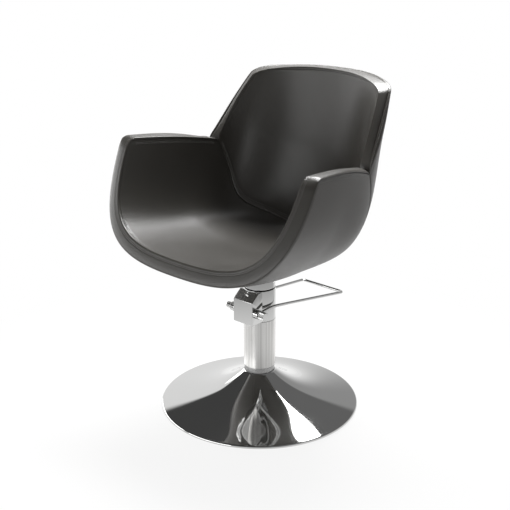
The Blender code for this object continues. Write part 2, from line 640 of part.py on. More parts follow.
def shell_point(s, t, w):
    """Point of the shell: s across, t from front edge to top, w from lining (0) to outside (1)."""
    s, t = round_corners(s, t)
    w = w[..., None]
    return bent_face(LINING, s, t) * (1 - w) + bent_face(OUTSIDE, s, t) * w


def bent_block(name, place, cells, finish):
    """A gridded box carried to its place by a function of its column, row and face (0 or 1).

    The grid is cut into triangles before it is thickened, so blocks that meet have equal facets.
    """
    builder = bmesh.new()
    bmesh.ops.create_grid(builder, x_segments=cells[0], y_segments=cells[1], size=0.5)
    bmesh.ops.triangulate(builder, faces=builder.faces[:], quad_method="FIXED")
    grown = bmesh.ops.extrude_face_region(builder, geom=builder.faces[:])["geom"]
    far = [item for item in grown if isinstance(item, bmesh.types.BMVert)]
    bmesh.ops.translate(builder, verts=far, vec=(0.0, 0.0, 1.0))
    unit = (np.array([vertex.co for vertex in builder.verts]) + (0.5, 0.5, 0.0)) * (*cells, 1)
    column, row, face = np.rint(unit).astype(int).T
    for vertex, point in zip(builder.verts, place(column, row, face)):
        vertex.co = point
    bmesh.ops.triangulate(builder, faces=builder.faces[:], quad_method="SHORT_EDGE")
    bmesh.ops.recalc_face_normals(builder, faces=builder.faces[:])
    if builder.calc_volume(signed=True) < 0.0:
        bmesh.ops.reverse_faces(builder, faces=builder.faces[:])
    mesh = bpy.data.meshes.new(name)
    builder.to_mesh(mesh)
    builder.free()
    mesh.shade_smooth()
    mesh.set_sharp_from_angle(angle=math.radians(SHARP_ANGLE_DEG))
    return add_part(name, mesh, finish)


def inset_side(t):
    """Share of s taken by the band at the rim."""
    return BAND_DEPTH / rim_run(t)


def pulled_in(a, b):
    """0 over a panel's middle, rising to 1 at its four seams."""
    swell = (1 - np.abs(2 * a - 1) ** SEAM_POWER) * (1 - np.abs(2 * b - 1) ** SEAM_POWER)
    return 1 - swell


def panel(name, columns, rows, layers, pulled_face, finish):
    """A panel of the shell between two layers w. The seams draw in its face 0, 1 or neither."""
    def place(column, row, face):
        t = rows[row]
        s = columns[column] * (1 - inset_side(t) - BAND_FIT / rim_run(t))
        w = np.where(face == 0, layers[0], layers[1])
        draw = SEAM_PULL / SHELL_DEPTH * pulled_in(column / (len(columns) - 1), row / (len(rows) - 1))
        w = w + np.where(face == pulled_face, draw * (1 - 2 * face), 0.0)
        return shell_point(s, t, w)
    return bent_block(name, place, (len(columns) - 1, len(rows) - 1), finish)


def band(name, seam, end, layers, finish):
    """Padded strip over the shell's edge: up one side, round the end and down the other."""
    along = np.array(ALONG)
    beside = np.ones(len(along))
    share = np.concatenate([along, np.ones(len(WHOLE) - 2), along[::-1]])
    side = np.concatenate([-beside, WHOLE[1:-1], beside])
    inset_end = BAND_DEPTH / (FRONT_RUN if end == 0.0 else TOP_RUN)
    inwards = 1.0 if end == 0.0 else -1.0

    def place(column, row, face):
        w = layers[row]
        crown = BAND_CROWN / BAND_DEPTH * (2 * w - 1) ** 2
        d = np.where(face == 0, crown, 1.0)
        t = seam + (end + inwards * inset_end * d - seam) * share[column]
        s = side[column] * (1 - d * inset_side(t))
        return shell_point(s, t, w)
    return bent_block(name, place, (len(share) - 1, len(layers) - 1), finish)


def build_shell(recess, bolt_holes):
    seam = PAD_FIT / 2 / end_run(JOINT_PLACE, JOINT_PLACE + RUN_SPAN)
    low, high = JOINT_PLACE - seam, JOINT_PLACE + seam
    front = (BAND_DEPTH + BAND_FIT) / FRONT_RUN
    top = 1 - (BAND_DEPTH + BAND_FIT) / TOP_RUN
    along = np.array(ALONG)
    arm_rows = (low + (front - low) * along)[::-1]
    back_rows = high + (top - high) * along
    left = WHOLE[:len(ACROSS)] - PAD_FIT * (WHOLE[:len(ACROSS)] == 0.0)
    right = -left[::-1]

    layer = PAD_FIT / SHELL_DEPTH
    inside = (0.0, PAD_SHARE)
    middle = (PAD_SHARE + layer, 1 - COVER_SHARE)
    outside = (1 - COVER_SHARE + layer, 1.0)
    edge = np.array([0.0, PAD_SHARE + layer / 2, 1 - COVER_SHARE + layer / 2, 1.0])
    core = panel("shell_core", WHOLE, np.concatenate([arm_rows, back_rows]), middle, None, FOAM)
    covers = [panel("side_cover_left", left, arm_rows, outside, 1, LEATHER),
              panel("side_cover_right", right, arm_rows, outside, 1, LEATHER)]
    for item in [core] + covers:
        boolean(item, recess)
        boolean(item, bolt_holes)
    return [core] + covers + [
        panel("rear_cover", WHOLE, back_rows, outside, 1, LEATHER),
        panel("seat_pad", WHOLE, arm_rows, inside, 0, LEATHER),
        panel("back_pad", WHOLE, back_rows, inside, 0, LEATHER),
        band("seat_band", low, 0.0, edge, LEATHER),
        band("back_band", high, 1.0, edge, LEATHER),
    ]


# Finishes: colour, roughness, metallic
CHROME = ((0.62, 0.62, 0.61), 0.08, 1.0)
SATIN = ((0.58, 0.57, 0.55), 0.34, 1.0)
STEEL = ((0.45, 0.45, 0.45), 0.30, 1.0)
CAST_IRON = ((0.06, 0.06, 0.06), 0.60, 0.6)
BRONZE = ((0.45, 0.28, 0.12), 0.35, 1.0)
RUBBER = ((0.012, 0.012, 0.012), 0.70, 0.0)
LEATHER = ((0.022, 0.021, 0.020), 0.42, 0.0)
FOAM = ((0.35, 0.33, 0.28), 0.90, 0.0)

# Sizes that follow from the driving dimensions
BASE_NECK = SPIGOT_RADIUS + FIT + BASE_SHEET
BASE_RIM_TOP = BASE_RIM_LIFT + 2 * BASE_RIM_ROUND
WEIGHT_PLATE_BASE = FLOOR_PAD_THICKNESS + FIT
WEIGHT_PLATE_TOP = WEIGHT_PLATE_BASE + WEIGHT_PLATE_THICKNESS
WEIGHT_PLATE_RADIUS = base_reach(WEIGHT_PLATE_TOP + BASE_SHEET + PLATE_ROOM)
BLOCK_FRONT = -(COLUMN_RADIUS + BLOCK_REACH)
BLOCK_TOP_EDGE = BLOCK_FRONT + BLOCK_SLOPE_DEPTH
SHAFT_Y = BLOCK_FRONT + SHAFT_SETBACK
LOBE_DROP = LOBE_THROW * math.sin(math.radians(LEVER_STROKE_DEG))
PLUNGER_Y = SHAFT_Y + LOBE_THROW
PLUNGER_TRAVEL = LOBE_THROW * math.radians(LEVER_STROKE_DEG)
FLANGE_BOLT_CIRCLE = FLANGE_RADIUS - FLANGE_BOLT_EDGE
SEAT_PLATE_RADIUS = COLLAR_RADIUS + SEAT_PLATE_MARGIN
SEAT_BOLT_CIRCLE = COLLAR_RADIUS + SEAT_PLATE_MARGIN / 2
ARM_JOINT = len(LINING) // 2        # the station where the arm meets the back
JOINT_PLACE = LINING[ARM_JOINT].place
WHOLE = np.concatenate([-np.array(ACROSS)[:0:-1], ACROSS])
FRONT_RUN = end_run(0.0, RUN_SPAN)
TOP_RUN = end_run(1.0 - RUN_SPAN, 1.0)
KEEL = bent_face(OUTSIDE, np.zeros(KEEL_SAMPLES), np.linspace(0.0, JOINT_PLACE, KEEL_SAMPLES))
KEEL_OVER_COLUMN = float(np.interp(0.0, KEEL[:, 1], KEEL[:, 2]))
SHELL_DEPTH = float(np.linalg.norm(np.subtract(LINING[ARM_JOINT].rim, OUTSIDE[ARM_JOINT].rim)))
SEAT_PLATE_LOW = KEEL_OVER_COLUMN + SEAT_PLATE_SINK
SEAT_PLATE_TOP = SEAT_PLATE_LOW + SEAT_PLATE_THICKNESS
COLLAR_BASE = HEAD_TOP + WIPER_STAND + FIT
COLLAR_TOP = SEAT_PLATE_LOW - FIT
RAM_TOP = COLLAR_TOP - COLLAR_CAP - THRUST_WASHER_THICKNESS - 2 * FIT

clear_scene()
PARTS = new_collection("salon_chair")
CUTTERS = new_collection("cutters")

build_base()
build_pump_head()
build_lever()
build_ram()
mount_parts, plate_recess, seat_bolt_holes = build_seat_mount()
shell_parts = build_shell(plate_recess, seat_bolt_holes)
carried_by("swivel_axis", (0.0, 0.0, COLLAR_BASE), mount_parts + shell_parts)
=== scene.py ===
# %% [markdown]
# # A hydraulic salon chair
# A black leather tub seat turns and lifts on a foot-pumped column over a mirror-chrome trumpet base.
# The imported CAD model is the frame: it gives every piece its place, in metres, with +Z up and the sitter
# facing -Y. This lesson dresses it, one piece or one finish to a cell.

# %% Load the frame
import json
import math

import bmesh
import bpy
import numpy as np
from mathutils import Matrix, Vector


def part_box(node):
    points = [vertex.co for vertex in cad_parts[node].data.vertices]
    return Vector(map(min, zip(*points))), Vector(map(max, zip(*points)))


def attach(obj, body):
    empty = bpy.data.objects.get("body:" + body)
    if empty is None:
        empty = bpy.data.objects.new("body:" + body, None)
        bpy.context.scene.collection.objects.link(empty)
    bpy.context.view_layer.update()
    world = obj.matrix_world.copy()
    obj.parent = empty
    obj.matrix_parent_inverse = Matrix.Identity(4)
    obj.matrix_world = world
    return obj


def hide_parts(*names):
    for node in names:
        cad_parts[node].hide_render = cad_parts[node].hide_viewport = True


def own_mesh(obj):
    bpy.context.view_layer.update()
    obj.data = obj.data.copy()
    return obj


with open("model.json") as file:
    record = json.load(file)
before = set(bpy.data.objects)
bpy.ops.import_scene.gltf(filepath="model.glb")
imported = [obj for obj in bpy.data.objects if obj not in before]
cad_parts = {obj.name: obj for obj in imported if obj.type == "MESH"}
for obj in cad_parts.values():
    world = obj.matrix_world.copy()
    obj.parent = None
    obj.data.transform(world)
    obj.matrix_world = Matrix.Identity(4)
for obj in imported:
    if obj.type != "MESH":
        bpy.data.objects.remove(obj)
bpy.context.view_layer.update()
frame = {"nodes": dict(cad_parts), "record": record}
MM = 0.001

# %% [markdown]
# ## The camera
# The view was solved from the round base, the column and the mirror symmetry of the arms: 42 degrees round
# from the front and 19.4 degrees down. A long lens keeps the perspective mild. It could be framed by eye, but
# a solved camera lets every pixel of the photograph test the shape.

# %% Camera
CAMERA_TURN = math.radians(42.0)
CAMERA_TILT = math.radians(19.4)
CAMERA_PAN = 0.005
CAMERA_DISTANCE = 2.4225
CAMERA_HEIGHT = 1.2747
FOCAL_OVER_WIDTH = 991.0 / 510.0

lens = bpy.data.cameras.new("studio_camera")
lens.sensor_width = 36.0
lens.lens = lens.sensor_width * FOCAL_OVER_WIDTH
eye = bpy.data.objects.new("studio_camera", lens)
eye.location = (math.sin(CAMERA_TURN) * CAMERA_DISTANCE, -math.cos(CAMERA_TURN) * CAMERA_DISTANCE,
                CAMERA_HEIGHT)
eye.rotation_euler = (math.pi / 2 - CAMERA_TILT, 0.0, CAMERA_TURN + CAMERA_PAN)
scene = bpy.context.scene
scene.collection.objects.link(eye)
scene.camera = eye
scene.view_settings.view_transform = "Standard"
print("camera at", [round(c, 3) for c in eye.location], "lens", round(lens.lens, 2), "mm")

# %% [markdown]
# ## Shader maths as Python
# A finish is a small sum of textures. Wiring its nodes one by one hides the sum, so one class wraps an output
# socket and lets Python's operators add the Math nodes, and one method adds any other node.


# %% Socket class
def feed(socket, value):
    """Link a wire to an input, or set the input to a plain value."""
    if isinstance(value, Wire):
        socket.id_data.links.new(value.socket, socket)
    elif isinstance(value, tuple) and len(value) == 3 and socket.type == "RGBA":
        socket.default_value = (*value, 1.0)
    else:
        socket.default_value = value


def reckon(operation, swapped=False):
    """An operator of a wire: a Math node of the wire and another value, or the other way round."""
    def operator(self, other):
        node = self.socket.id_data.nodes.new("ShaderNodeMath")
        node.operation = operation
        for socket, value in zip(node.inputs, (other, self) if swapped else (self, other)):
            feed(socket, value)
        return Wire(node.outputs[0])
    return operator


class Wire:
    """An output socket that can be reckoned with like a number."""

    def __init__(self, socket):
        self.socket = socket

    __add__ = __radd__ = reckon("ADD")
    __mul__ = __rmul__ = reckon("MULTIPLY")
    __sub__, __rsub__ = reckon("SUBTRACT"), reckon("SUBTRACT", swapped=True)
    at_most, at_least = reckon("MINIMUM"), reckon("MAXIMUM")


# %% Node trees
class Graph:
    """A node tree, with one method that adds a node: settings first, then sockets."""

    def __init__(self, tree):
        self.tree = tree

    def node(self, kind, settings, sockets, output=0):
        node = self.tree.nodes.new("ShaderNode" + kind)
        for name, value in settings.items():
            setattr(node, name, value)
        for name, value in sockets.items():
            feed(node.inputs[name], value)
        return Wire(node.outputs[output])

    def ramp(self, value, start, end, first=0.0, last=1.0):
        """From first to last as a value goes from start to end, with eased ends."""
        return self.node("MapRange", {"interpolation_type": "SMOOTHSTEP"}, {
            "Value": value, "From Min": start, "From Max": end, "To Min": first, "To Max": last})

    def along(self, vector, way):
        """How far a vector points along a direction: their dot product."""
        return self.node("VectorMath", {"operation": "DOT_PRODUCT"}, {0: vector, 1: way}, "Value")

    def ray(self, *kinds):
        """1 for rays of the named kinds, 0 for the others."""
        return sum(self.node("LightPath", {}, {}, f"Is {kind} Ray") for kind in kinds).at_most(1.0)


class Finish(Graph):
    """A material: its Principled shader, the object's own coordinates and helpers for what varies."""

    def __init__(self, name, **constants):
        self.material = bpy.data.materials.new(name)
        self.material.use_nodes = True
        super().__init__(self.material.node_tree)
        self.shader = self.tree.nodes["Principled BSDF"]
        self.where = self.node("TexCoord", {}, {}, "Object")
        for socket, value in constants.items():
            self.put(socket.replace("_", " "), value)

    def put(self, socket, value):
        feed(self.shader.inputs[socket], value)

    def noise(self, scale, detail=2.0, where=None, roughness=0.5):
        """Noise from 0 to 1, with scale in bumps a metre."""
        return self.node("TexNoise", {}, {"Vector": where or self.where, "Scale": scale, "Detail": detail,
                                          "Roughness": roughness}, "Fac")

    def stretched(self, across, along):
        """The coordinates scaled apart, so that a noise draws out along Z or round it."""
        return self.node("Mapping", {}, {"Vector": self.where, "Scale": (across, across, along)})

    def blend(self, share, dark, light):
        """A colour between two, by share."""
        return self.node("Mix", {"data_type": "RGBA"}, {"Factor": share, 6: dark, 7: light}, 2)

    def bump(self, height, depth, strength=1.0):
        """Feed a height from 0 to 1 to the normal, with depth in metres."""
        self.put("Normal", self.node("Bump", {}, {"Strength": strength, "Distance": depth, "Height": height}))


print("socket and node classes ready")

# %% [markdown]
# ## Floor and studio light
# The chair was photographed on a white floor in a white room, and what its chrome shows is that room and the
# underside of its own seat. A white floor would go grey under plain light, so most of it glows for the camera
# and for reflections, and the rest takes the chair's shadow. Reflections show the glow as a pool round the
# chair, which fades away from it but not towards the backdrop.

# %% Floor
FLOOR_SIZE = 60.0
GLOW_NEAR = 0.88  # share of the floor's white that is glow, under the chair
GLOW_START, GLOW_END = 0.35, 1.00  # from here to here it grows to the whole
POOL_START, POOL_END = 0.45, 1.10  # the pool in reflections fades from here to here
POOL_LIT, POOL_DIM = 0.92, 0.42  # and from this brightness to this one
BACKDROP_WAY = (-math.sin(CAMERA_TURN), math.cos(CAMERA_TURN), 0.0)
BACKDROP_START, BACKDROP_END = 0.35, 0.75  # cosines from that way, between which the fading ends
BLACK, WHITE = (0.0, 0.0, 0.0), (1.0, 1.0, 1.0)

corners = np.array([(-1, -1, 0), (1, -1, 0), (1, 1, 0), (-1, 1, 0)]) * FLOOR_SIZE / 2
ground = bpy.data.meshes.new("studio_floor")
ground.from_pydata(corners.tolist(), [], [(0, 1, 2, 3)])
floor = bpy.data.objects.new("studio_floor", ground)
scene.collection.objects.link(floor)

paper = Finish("white_floor")
paper.tree.nodes.remove(paper.shader)
grain = paper.blend(paper.noise(7.0), (0.86, 0.86, 0.85), (0.90, 0.90, 0.89))
matt = paper.node("BsdfDiffuse", {}, {"Color": grain})
away = paper.node("VectorMath", {"operation": "LENGTH"}, {0: paper.where}, "Value")
aside = paper.node("VectorMath", {"operation": "NORMALIZE"}, {0: paper.where})
lost = paper.ramp(away, POOL_START, POOL_END, 1.0 - POOL_LIT, 1.0 - POOL_DIM)
lost = lost * paper.ramp(paper.along(aside, BACKDROP_WAY), BACKDROP_START, BACKDROP_END, 1.0, 0.0)
shine = 1.0 - paper.ray("Glossy", "Transmission") * lost
glow = paper.node("Emission", {}, {"Color": paper.blend(shine, BLACK, WHITE)})
share = paper.ray("Camera", "Glossy", "Transmission") * paper.ramp(away, GLOW_START, GLOW_END, GLOW_NEAR, 1.0)
mixed = paper.node("MixShader", {}, {0: share, 1: matt, 2: glow})
feed(paper.tree.nodes["Material Output"].inputs["Surface"], mixed)
ground.materials.append(paper.material)
print("floor", FLOOR_SIZE, "m across")

# %% [markdown]
# The chrome base shows what the room was like: white walls that end lower in front than behind, dimmer on the
# right and behind the camera, with a dark ceiling above. Two softboxes hang high up behind the chair, and two
# stand low, on the left and in front. The world repeats the room, and only the camera sees plain white.

# %% Room
WALL_WHITE, WALL_RIGHT = 1.0, 0.38
CEILING_LEFT, CEILING_RIGHT = 0.07, 0.17
RIGHT_START, RIGHT_END = -0.20, 0.25  # cosines between which the left of the room turns to its right
DIM_START, DIM_END = -0.10, 0.38  # sines of the heights between which the wall on the right dims
LENS_WAY, LENS_START, LENS_END = (0.71, -0.71, 0.0), 0.75, 0.95  # where the wall behind the camera is
LENS_SIDE_LOSS = 0.60  # and how much darker
WALL_TOP, WALL_TOP_FRONT = 0.50, 0.20  # sines of the heights at which the walls end, behind and in front
FRONT_WAY, FRONT_START, FRONT_END = (-0.6, -0.8, 0.0), 0.30, 0.70
WALL_EDGE = 0.02  # half the width of the soft edge between wall and ceiling

room = bpy.data.worlds.new("white_room")
scene.world = room
room.use_nodes = True
air = Graph(room.node_tree)
gaze = air.node("TexCoord", {}, {}, "Generated")
rightward = air.along(gaze, (math.cos(CAMERA_TURN), math.sin(CAMERA_TURN), 0.0))
upward = air.along(gaze, (0.0, 0.0, 1.0))
dim = air.ramp(rightward, RIGHT_START, RIGHT_END) * air.ramp(upward, DIM_START, DIM_END)
lens_side = air.ramp(air.along(gaze, LENS_WAY), LENS_START, LENS_END)
wall = (WALL_WHITE - dim * (WALL_WHITE - WALL_RIGHT)) * (1.0 - lens_side * LENS_SIDE_LOSS)
ceiling = air.ramp(rightward, RIGHT_START, RIGHT_END, CEILING_LEFT, CEILING_RIGHT)
wall_top = air.ramp(air.along(gaze, FRONT_WAY), FRONT_START, FRONT_END, WALL_TOP, WALL_TOP_FRONT)
above = air.ramp(upward - wall_top, -WALL_EDGE, WALL_EDGE)
shown = wall + above * (ceiling - wall)
background = room.node_tree.nodes["Background"].inputs
feed(background["Strength"], air.ray("Camera") * (1.0 - shown) + shown)
feed(background["Color"], WHITE)

# %% Softboxes
CHAIR_MIDDLE = np.array([0.0, 0.0, 0.55])


def unit(v):
    """Vectors scaled to length 1."""
    return v / np.linalg.norm(v, axis=-1, keepdims=True)


def add_softbox(name, place, lie, size, watts):
    """A rectangular lamp at a place, its long side along a direction, aimed at the middle of the chair."""
    light = bpy.data.lights.new(name, "AREA")
    light.shape = "RECTANGLE"
    light.size, light.size_y = size
    light.energy = watts
    lamp = bpy.data.objects.new(name, light)
    back = unit(np.array(place) - CHAIR_MIDDLE)
    length = unit(np.array(lie) - back * (np.array(lie) @ back))
    lamp.location = place
    lamp.rotation_euler = Matrix((length, np.cross(back, length), back)).transposed().to_euler()
    scene.collection.objects.link(lamp)
    print(name, watts, "W")


add_softbox("softbox_behind", (-0.35, 1.25, 2.35), (-0.84, 0.54, 0.0), (1.9, 0.8), 30.0)
add_softbox("softbox_above", (-0.55, 0.80, 2.40), (0.82, 0.57, 0.0), (1.3, 0.5), 86.0)
add_softbox("softbox_left", (-2.42, -0.62, 0.66), (0.25, -0.97, 0.0), (2.8, 1.0), 24.0)
add_softbox("softbox_front", (-0.56, -2.44, 0.50), (0.97, -0.22, 0.0), (2.4, 0.8), 19.0)

# %% [markdown]
# ## Leather
# The hide is dyed black and sealed with a satin coat. Close up it is a field of small pebbles with creases
# between them, broken by larger soft folds; from afar only its broad sheen shows. Cells of a Voronoi texture,
# bent by a noise, give the pebbles. Beside a seam the coat is rubbed, so the panels carry an attribute that
# tells how near the seam is.

# %% Leather finish
leather = Finish("black_leather", Specular_IOR_Level=0.5)
bend = leather.node("TexNoise", {}, {"Vector": leather.where, "Scale": 260.0, "Detail": 1.0}, "Color")
bent = leather.node("VectorMath", {"operation": "MULTIPLY_ADD"}, {
    0: bend, 1: (0.0012, 0.0012, 0.0012), 2: leather.where})
crease = leather.node("TexVoronoi", {"feature": "DISTANCE_TO_EDGE"}, {"Vector": bent, "Scale": 560.0},
                      "Distance")
pebble = (crease * 5.0).at_most(1.0)
pores = leather.noise(2400.0, 1.0)
folds = leather.noise(48.0, 3.0)
mottle = leather.noise(7.0, 4.0)
rubbed = leather.node("Attribute", {"attribute_name": "seam"}, {}, "Fac")
tone = (mottle * 0.7 + pebble * 0.15 + rubbed * 0.25).at_most(1.0)
leather.put("Base Color", leather.blend(tone, (0.0352, 0.0326, 0.0284), (0.0494, 0.0460, 0.0404)))
leather.put("Roughness", 0.40 - pebble * 0.05 + (mottle - 0.5) * 0.12 - rubbed * 0.05)
leather.bump(pebble * 0.30 + pores * 0.10 + folds * 0.60, 0.35 * MM, 0.55)
print("leather finish ready")

# %% [markdown]
# ## Chrome, satin steel and the rest
# The chrome is a mirror with the faintest smears. The column tube was ground, so fine lines run round it; the
# light and dark streaks along it are painted reflections of the room, with a little tone from the grinding
# lines. The other
# finishes need one noise each: a dark thread, lighter than the hide, the plain steel, and the cast iron,
# bronze, rubber and lining that show only from below or when the seat is raised.


# %% Other finishes
def one_noise(name, scale, detail, dark, light, rough, depth=0.0, stretch=None, **constants):
    """A finish that one noise drives: colour from dark to light, roughness from one value up by another,
    and a bump of some depth."""
    finish = Finish(name, **constants)
    speck = finish.noise(scale, detail, stretch and finish.stretched(*stretch))
    finish.put("Base Color", finish.blend(speck, dark, light))
    finish.put("Roughness", rough[0] + speck * rough[1])
    if depth:
        finish.bump(speck, depth)
    return finish


chrome = Finish("mirror_chrome", Metallic=1.0)
smear = chrome.noise(16.0, 4.0)
chrome.put("Base Color", chrome.blend(smear, (0.615, 0.615, 0.610), (0.645, 0.645, 0.640)))
chrome.put("Roughness", 0.035 + (smear - 0.45).at_least(0.0) * 0.10)

satin = Finish("satin_steel", Metallic=1.0, Anisotropic=0.6, Anisotropic_Rotation=0.25)
ground_lines = satin.noise(1.0, 3.0, satin.stretched(60.0, 2600.0))
# painted reflection: long light and dark streaks along the tube stand in for the room it reflects; the ground
# lines add some real tone
painted_reflection_streaks = satin.noise(1.0, 2.0, satin.stretched(150.0, 1.2), 0.6)
painted_reflections_and_grinding = (painted_reflection_streaks * 2.6 - 0.8).at_least(0.0).at_most(1.0) * 0.8 + ground_lines * 0.2
satin.put("Base Color", satin.blend(painted_reflections_and_grinding, (0.520, 0.515, 0.505), (0.860, 0.855, 0.840)))
satin.put("Roughness", 0.24 + ground_lines * 0.12)
satin.bump(ground_lines, 0.02 * MM, 0.5)

thread = one_noise("black_thread", 1500.0, 2.0, (0.105, 0.102, 0.097), (0.210, 0.205, 0.196), (0.38, 0.15),
                   0.15 * MM, Specular_IOR_Level=0.6)
steel = one_noise("bright_steel", 1.0, 3.0, (0.42, 0.42, 0.42), (0.50, 0.50, 0.50), (0.20, 0.16),
                  stretch=(90.0, 1800.0), Metallic=1.0)
iron = one_noise("cast_iron", 420.0, 4.0, (0.040, 0.040, 0.040), (0.080, 0.078, 0.075), (0.55, 0.25),
                 0.6 * MM, Metallic=0.6)
bronze = one_noise("sintered_bronze", 1800.0, 2.0, (0.40, 0.25, 0.10), (0.50, 0.32, 0.15), (0.32, 0.15),
                   Metallic=1.0)
rubber = one_noise("black_rubber", 300.0, 3.0, (0.010, 0.010, 0.010), (0.020, 0.020, 0.019), (0.66, 0.2),
                   0.2 * MM, Specular_IOR_Level=0.35)
lining_cloth = one_noise("lining_cloth", 1400.0, 2.0, (0.010, 0.010, 0.010), (0.022, 0.022, 0.021),
                         (0.85, 0.1), 0.3 * MM, Specular_IOR_Level=0.2)
FINISHES = {"leather": leather, "foam": lining_cloth, "chrome": chrome, "satin": satin, "steel": steel,
            "iron": iron, "bronze": bronze, "rubber": rubber}
print("finishes:", ", ".join(finish.material.name for finish in FINISHES.values()))

# %% [markdown]
# ## From arrays to a piece
# Every new piece is a grid of points worked out as one array. A grid that closes on itself is a tube or a
# ring; where a row shrinks to one point it is a pole, and the doubles are merged. The sign of the enclosed
# volume tells whether the faces look outwards, so one function can turn any shape the right way round.

# %% Mesh helpers
MERGE, SLIVER = 1e-6, 1e-7
SHARP, CAST_SHARP, CUT_SHARP = 50, 35, 60  # degrees past which an edge is drawn sharp


def grid_quads(rows, cols, loop_rows=False, loop_cols=False):
    """Corner numbers of the cells of a grid, which may close on itself either way."""
    i, j = np.meshgrid(np.arange(rows - (not loop_rows)), np.arange(cols - (not loop_cols)), indexing="ij")
    i2, j2 = (i + 1) % rows, (j + 1) % cols
    return np.stack([i * cols + j, i * cols + j2, i2 * cols + j2, i2 * cols + j], -1).reshape(-1, 4)


def closed(rings):
    """A tube of rings as points and quads, with a pole in the middle of each end."""
    poles = rings.mean(1, keepdims=True)[[0, -1]].repeat(rings.shape[1], 1)
    points = np.concatenate([poles[:1], rings, poles[1:]])
    return points, grid_quads(*points.shape[:2], loop_cols=True)


def outward(points, quads):
    """The quads turned so that the volume they enclose is positive: a sum of corner tetrahedra."""
    a, b, c, d = (points[quads[:, k]] for k in range(4))
    volume = np.sum(a * np.cross(b, c)) + np.sum(a * np.cross(c, d))
    return quads if volume > 0 else quads[:, ::-1]


def welded(name, parts, marks=None):
    """A mesh of closed shells, each an array of points with its quads, facing outwards, doubles merged."""
    shift, points, quads = 0, [], []
    for place, faces in parts:
        place = np.asarray(place, float).reshape(-1, 3)
        points.append(place)
        quads.append(outward(place, faces) + shift)
        shift += len(place)
    mesh = bpy.data.meshes.new(name)
    mesh.from_pydata(np.concatenate(points).tolist(), [], np.concatenate(quads).tolist())
    if marks is not None:
        seam = mesh.attributes.new("seam", "FLOAT", "POINT")
        seam.data.foreach_set("value", marks.ravel().astype(np.float32))
    work = bmesh.new()
    work.from_mesh(mesh)
    bmesh.ops.remove_doubles(work, verts=work.verts, dist=MERGE)
    bmesh.ops.dissolve_degenerate(work, edges=work.edges, dist=SLIVER)
    work.to_mesh(mesh)
    work.free()
    return mesh


def add_piece(name, parts, finish, body, stands_for=(), sharp=None, marks=None):
    """One object from closed shells, riding on a body, with edges past an angle in degrees kept sharp."""
    mesh = welded(name, parts, marks)
    mesh.shade_smooth()
    if sharp is not None:
        mesh.set_sharp_from_angle(angle=math.radians(sharp))
    mesh.materials.append(finish.material)
    piece = bpy.data.objects.new(name, mesh)
    scene.collection.objects.link(piece)
    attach(piece, body)
    if stands_for:
        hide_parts(*stands_for)
    print(f"{name}: {len(mesh.polygons)} faces")
    return piece


# %% [markdown]
# ## The shell, a surface of two numbers
# The tub is bent ply with foam, and it has no flat face to draw on. So its lining and its outside are each
# given by five stations from the front edge, under the sitter, to the top of the back. A station holds a point
# on the rim, a point on the centre line and how upright the wall between them stands. The number s runs from
# rim to rim through the centre line, t from the front to the top, and w from the lining to the outside. The
# same stations shape the CAD solids, so the fine panels fall where the solids are.

# %% Shell stations
# place, rim x y z, keel y z, wall, floor, lead, lean
LINING = np.array([
    (0.00, 0.288, -0.177, 0.717, -0.287, 0.480, 0.91, 0.66, 0.1, 0.00),
    (0.25, 0.262, -0.035, 0.702, -0.045, 0.446, 0.85, 0.72, 0.3, 0.00),
    (0.50, 0.239, 0.095, 0.678, 0.170, 0.447, 0.70, 0.62, 0.0, 0.02),
    (0.75, 0.227, 0.154, 0.776, 0.248, 0.655, 0.40, 0.55, 0.0, 0.15),
    (1.00, 0.207, 0.212, 0.853, 0.275, 0.871, 0.33, 0.60, 0.0, 0.25)])
OUTSIDE = np.array([
    (0.00, 0.326, -0.173, 0.720, -0.306, 0.446, 0.91, 0.65, -0.1, 0.00),
    (0.25, 0.300, -0.028, 0.707, -0.060, 0.378, 0.76, 0.42, 0.2, 0.00),
    (0.50, 0.272, 0.090, 0.676, 0.175, 0.407, 0.70, 0.57, 0.0, 0.05),
    (0.75, 0.260, 0.162, 0.766, 0.285, 0.590, 0.59, 0.42, 0.0, 0.24),
    (1.00, 0.230, 0.237, 0.863, 0.330, 0.870, 0.33, 0.60, 0.0, 0.30)])
JOINT_ROW = 2  # the station where the arm meets the back
JOINT = LINING[JOINT_ROW, 0]
ARM_CORNER, TOP_CORNER = 0.030, 0.042
SEAM_DIP = 0.045  # how far the seam of seat and back runs forward on the walls
SEAM_DIP_PLACE, SEAM_DIP_REACH = 0.59, 0.19
SEAM_RISE, SEAM_LEVEL = 0.018, 8  # how far up over the centre line, and the power that keeps it level there


def along_stations(stations, t):
    """Station values at t: cubic pieces through the stations, with a kink of the rim at the joint."""
    places, rows = stations[:, 0], stations[:, 1:]
    slope = np.gradient(rows, places, axis=0)
    chord = np.diff(rows, axis=0) / np.diff(places)[:, None]
    slope[0] = 1.5 * chord[0] - 0.5 * slope[1]
    slope[-1] = 1.5 * chord[-1] - 0.5 * slope[-2]
    arrive, leave = slope.copy(), slope.copy()
    arrive[JOINT_ROW, :3] = 1.5 * chord[JOINT_ROW - 1, :3] - 0.5 * slope[JOINT_ROW - 1, :3]
    leave[JOINT_ROW, :3] = 1.5 * chord[JOINT_ROW, :3] - 0.5 * slope[JOINT_ROW + 1, :3]
    k = np.clip(np.searchsorted(places, t, side="right") - 1, 0, len(places) - 2)
    step = (places[k + 1] - places[k])[..., None]
    u = (t - places[k])[..., None] / step
    return ((2 * u ** 3 - 3 * u ** 2 + 1) * rows[k] + (u ** 3 - 2 * u ** 2 + u) * step * leave[k]
            + (3 * u ** 2 - 2 * u ** 3) * rows[k + 1] + (u ** 3 - u ** 2) * step * arrive[k + 1])


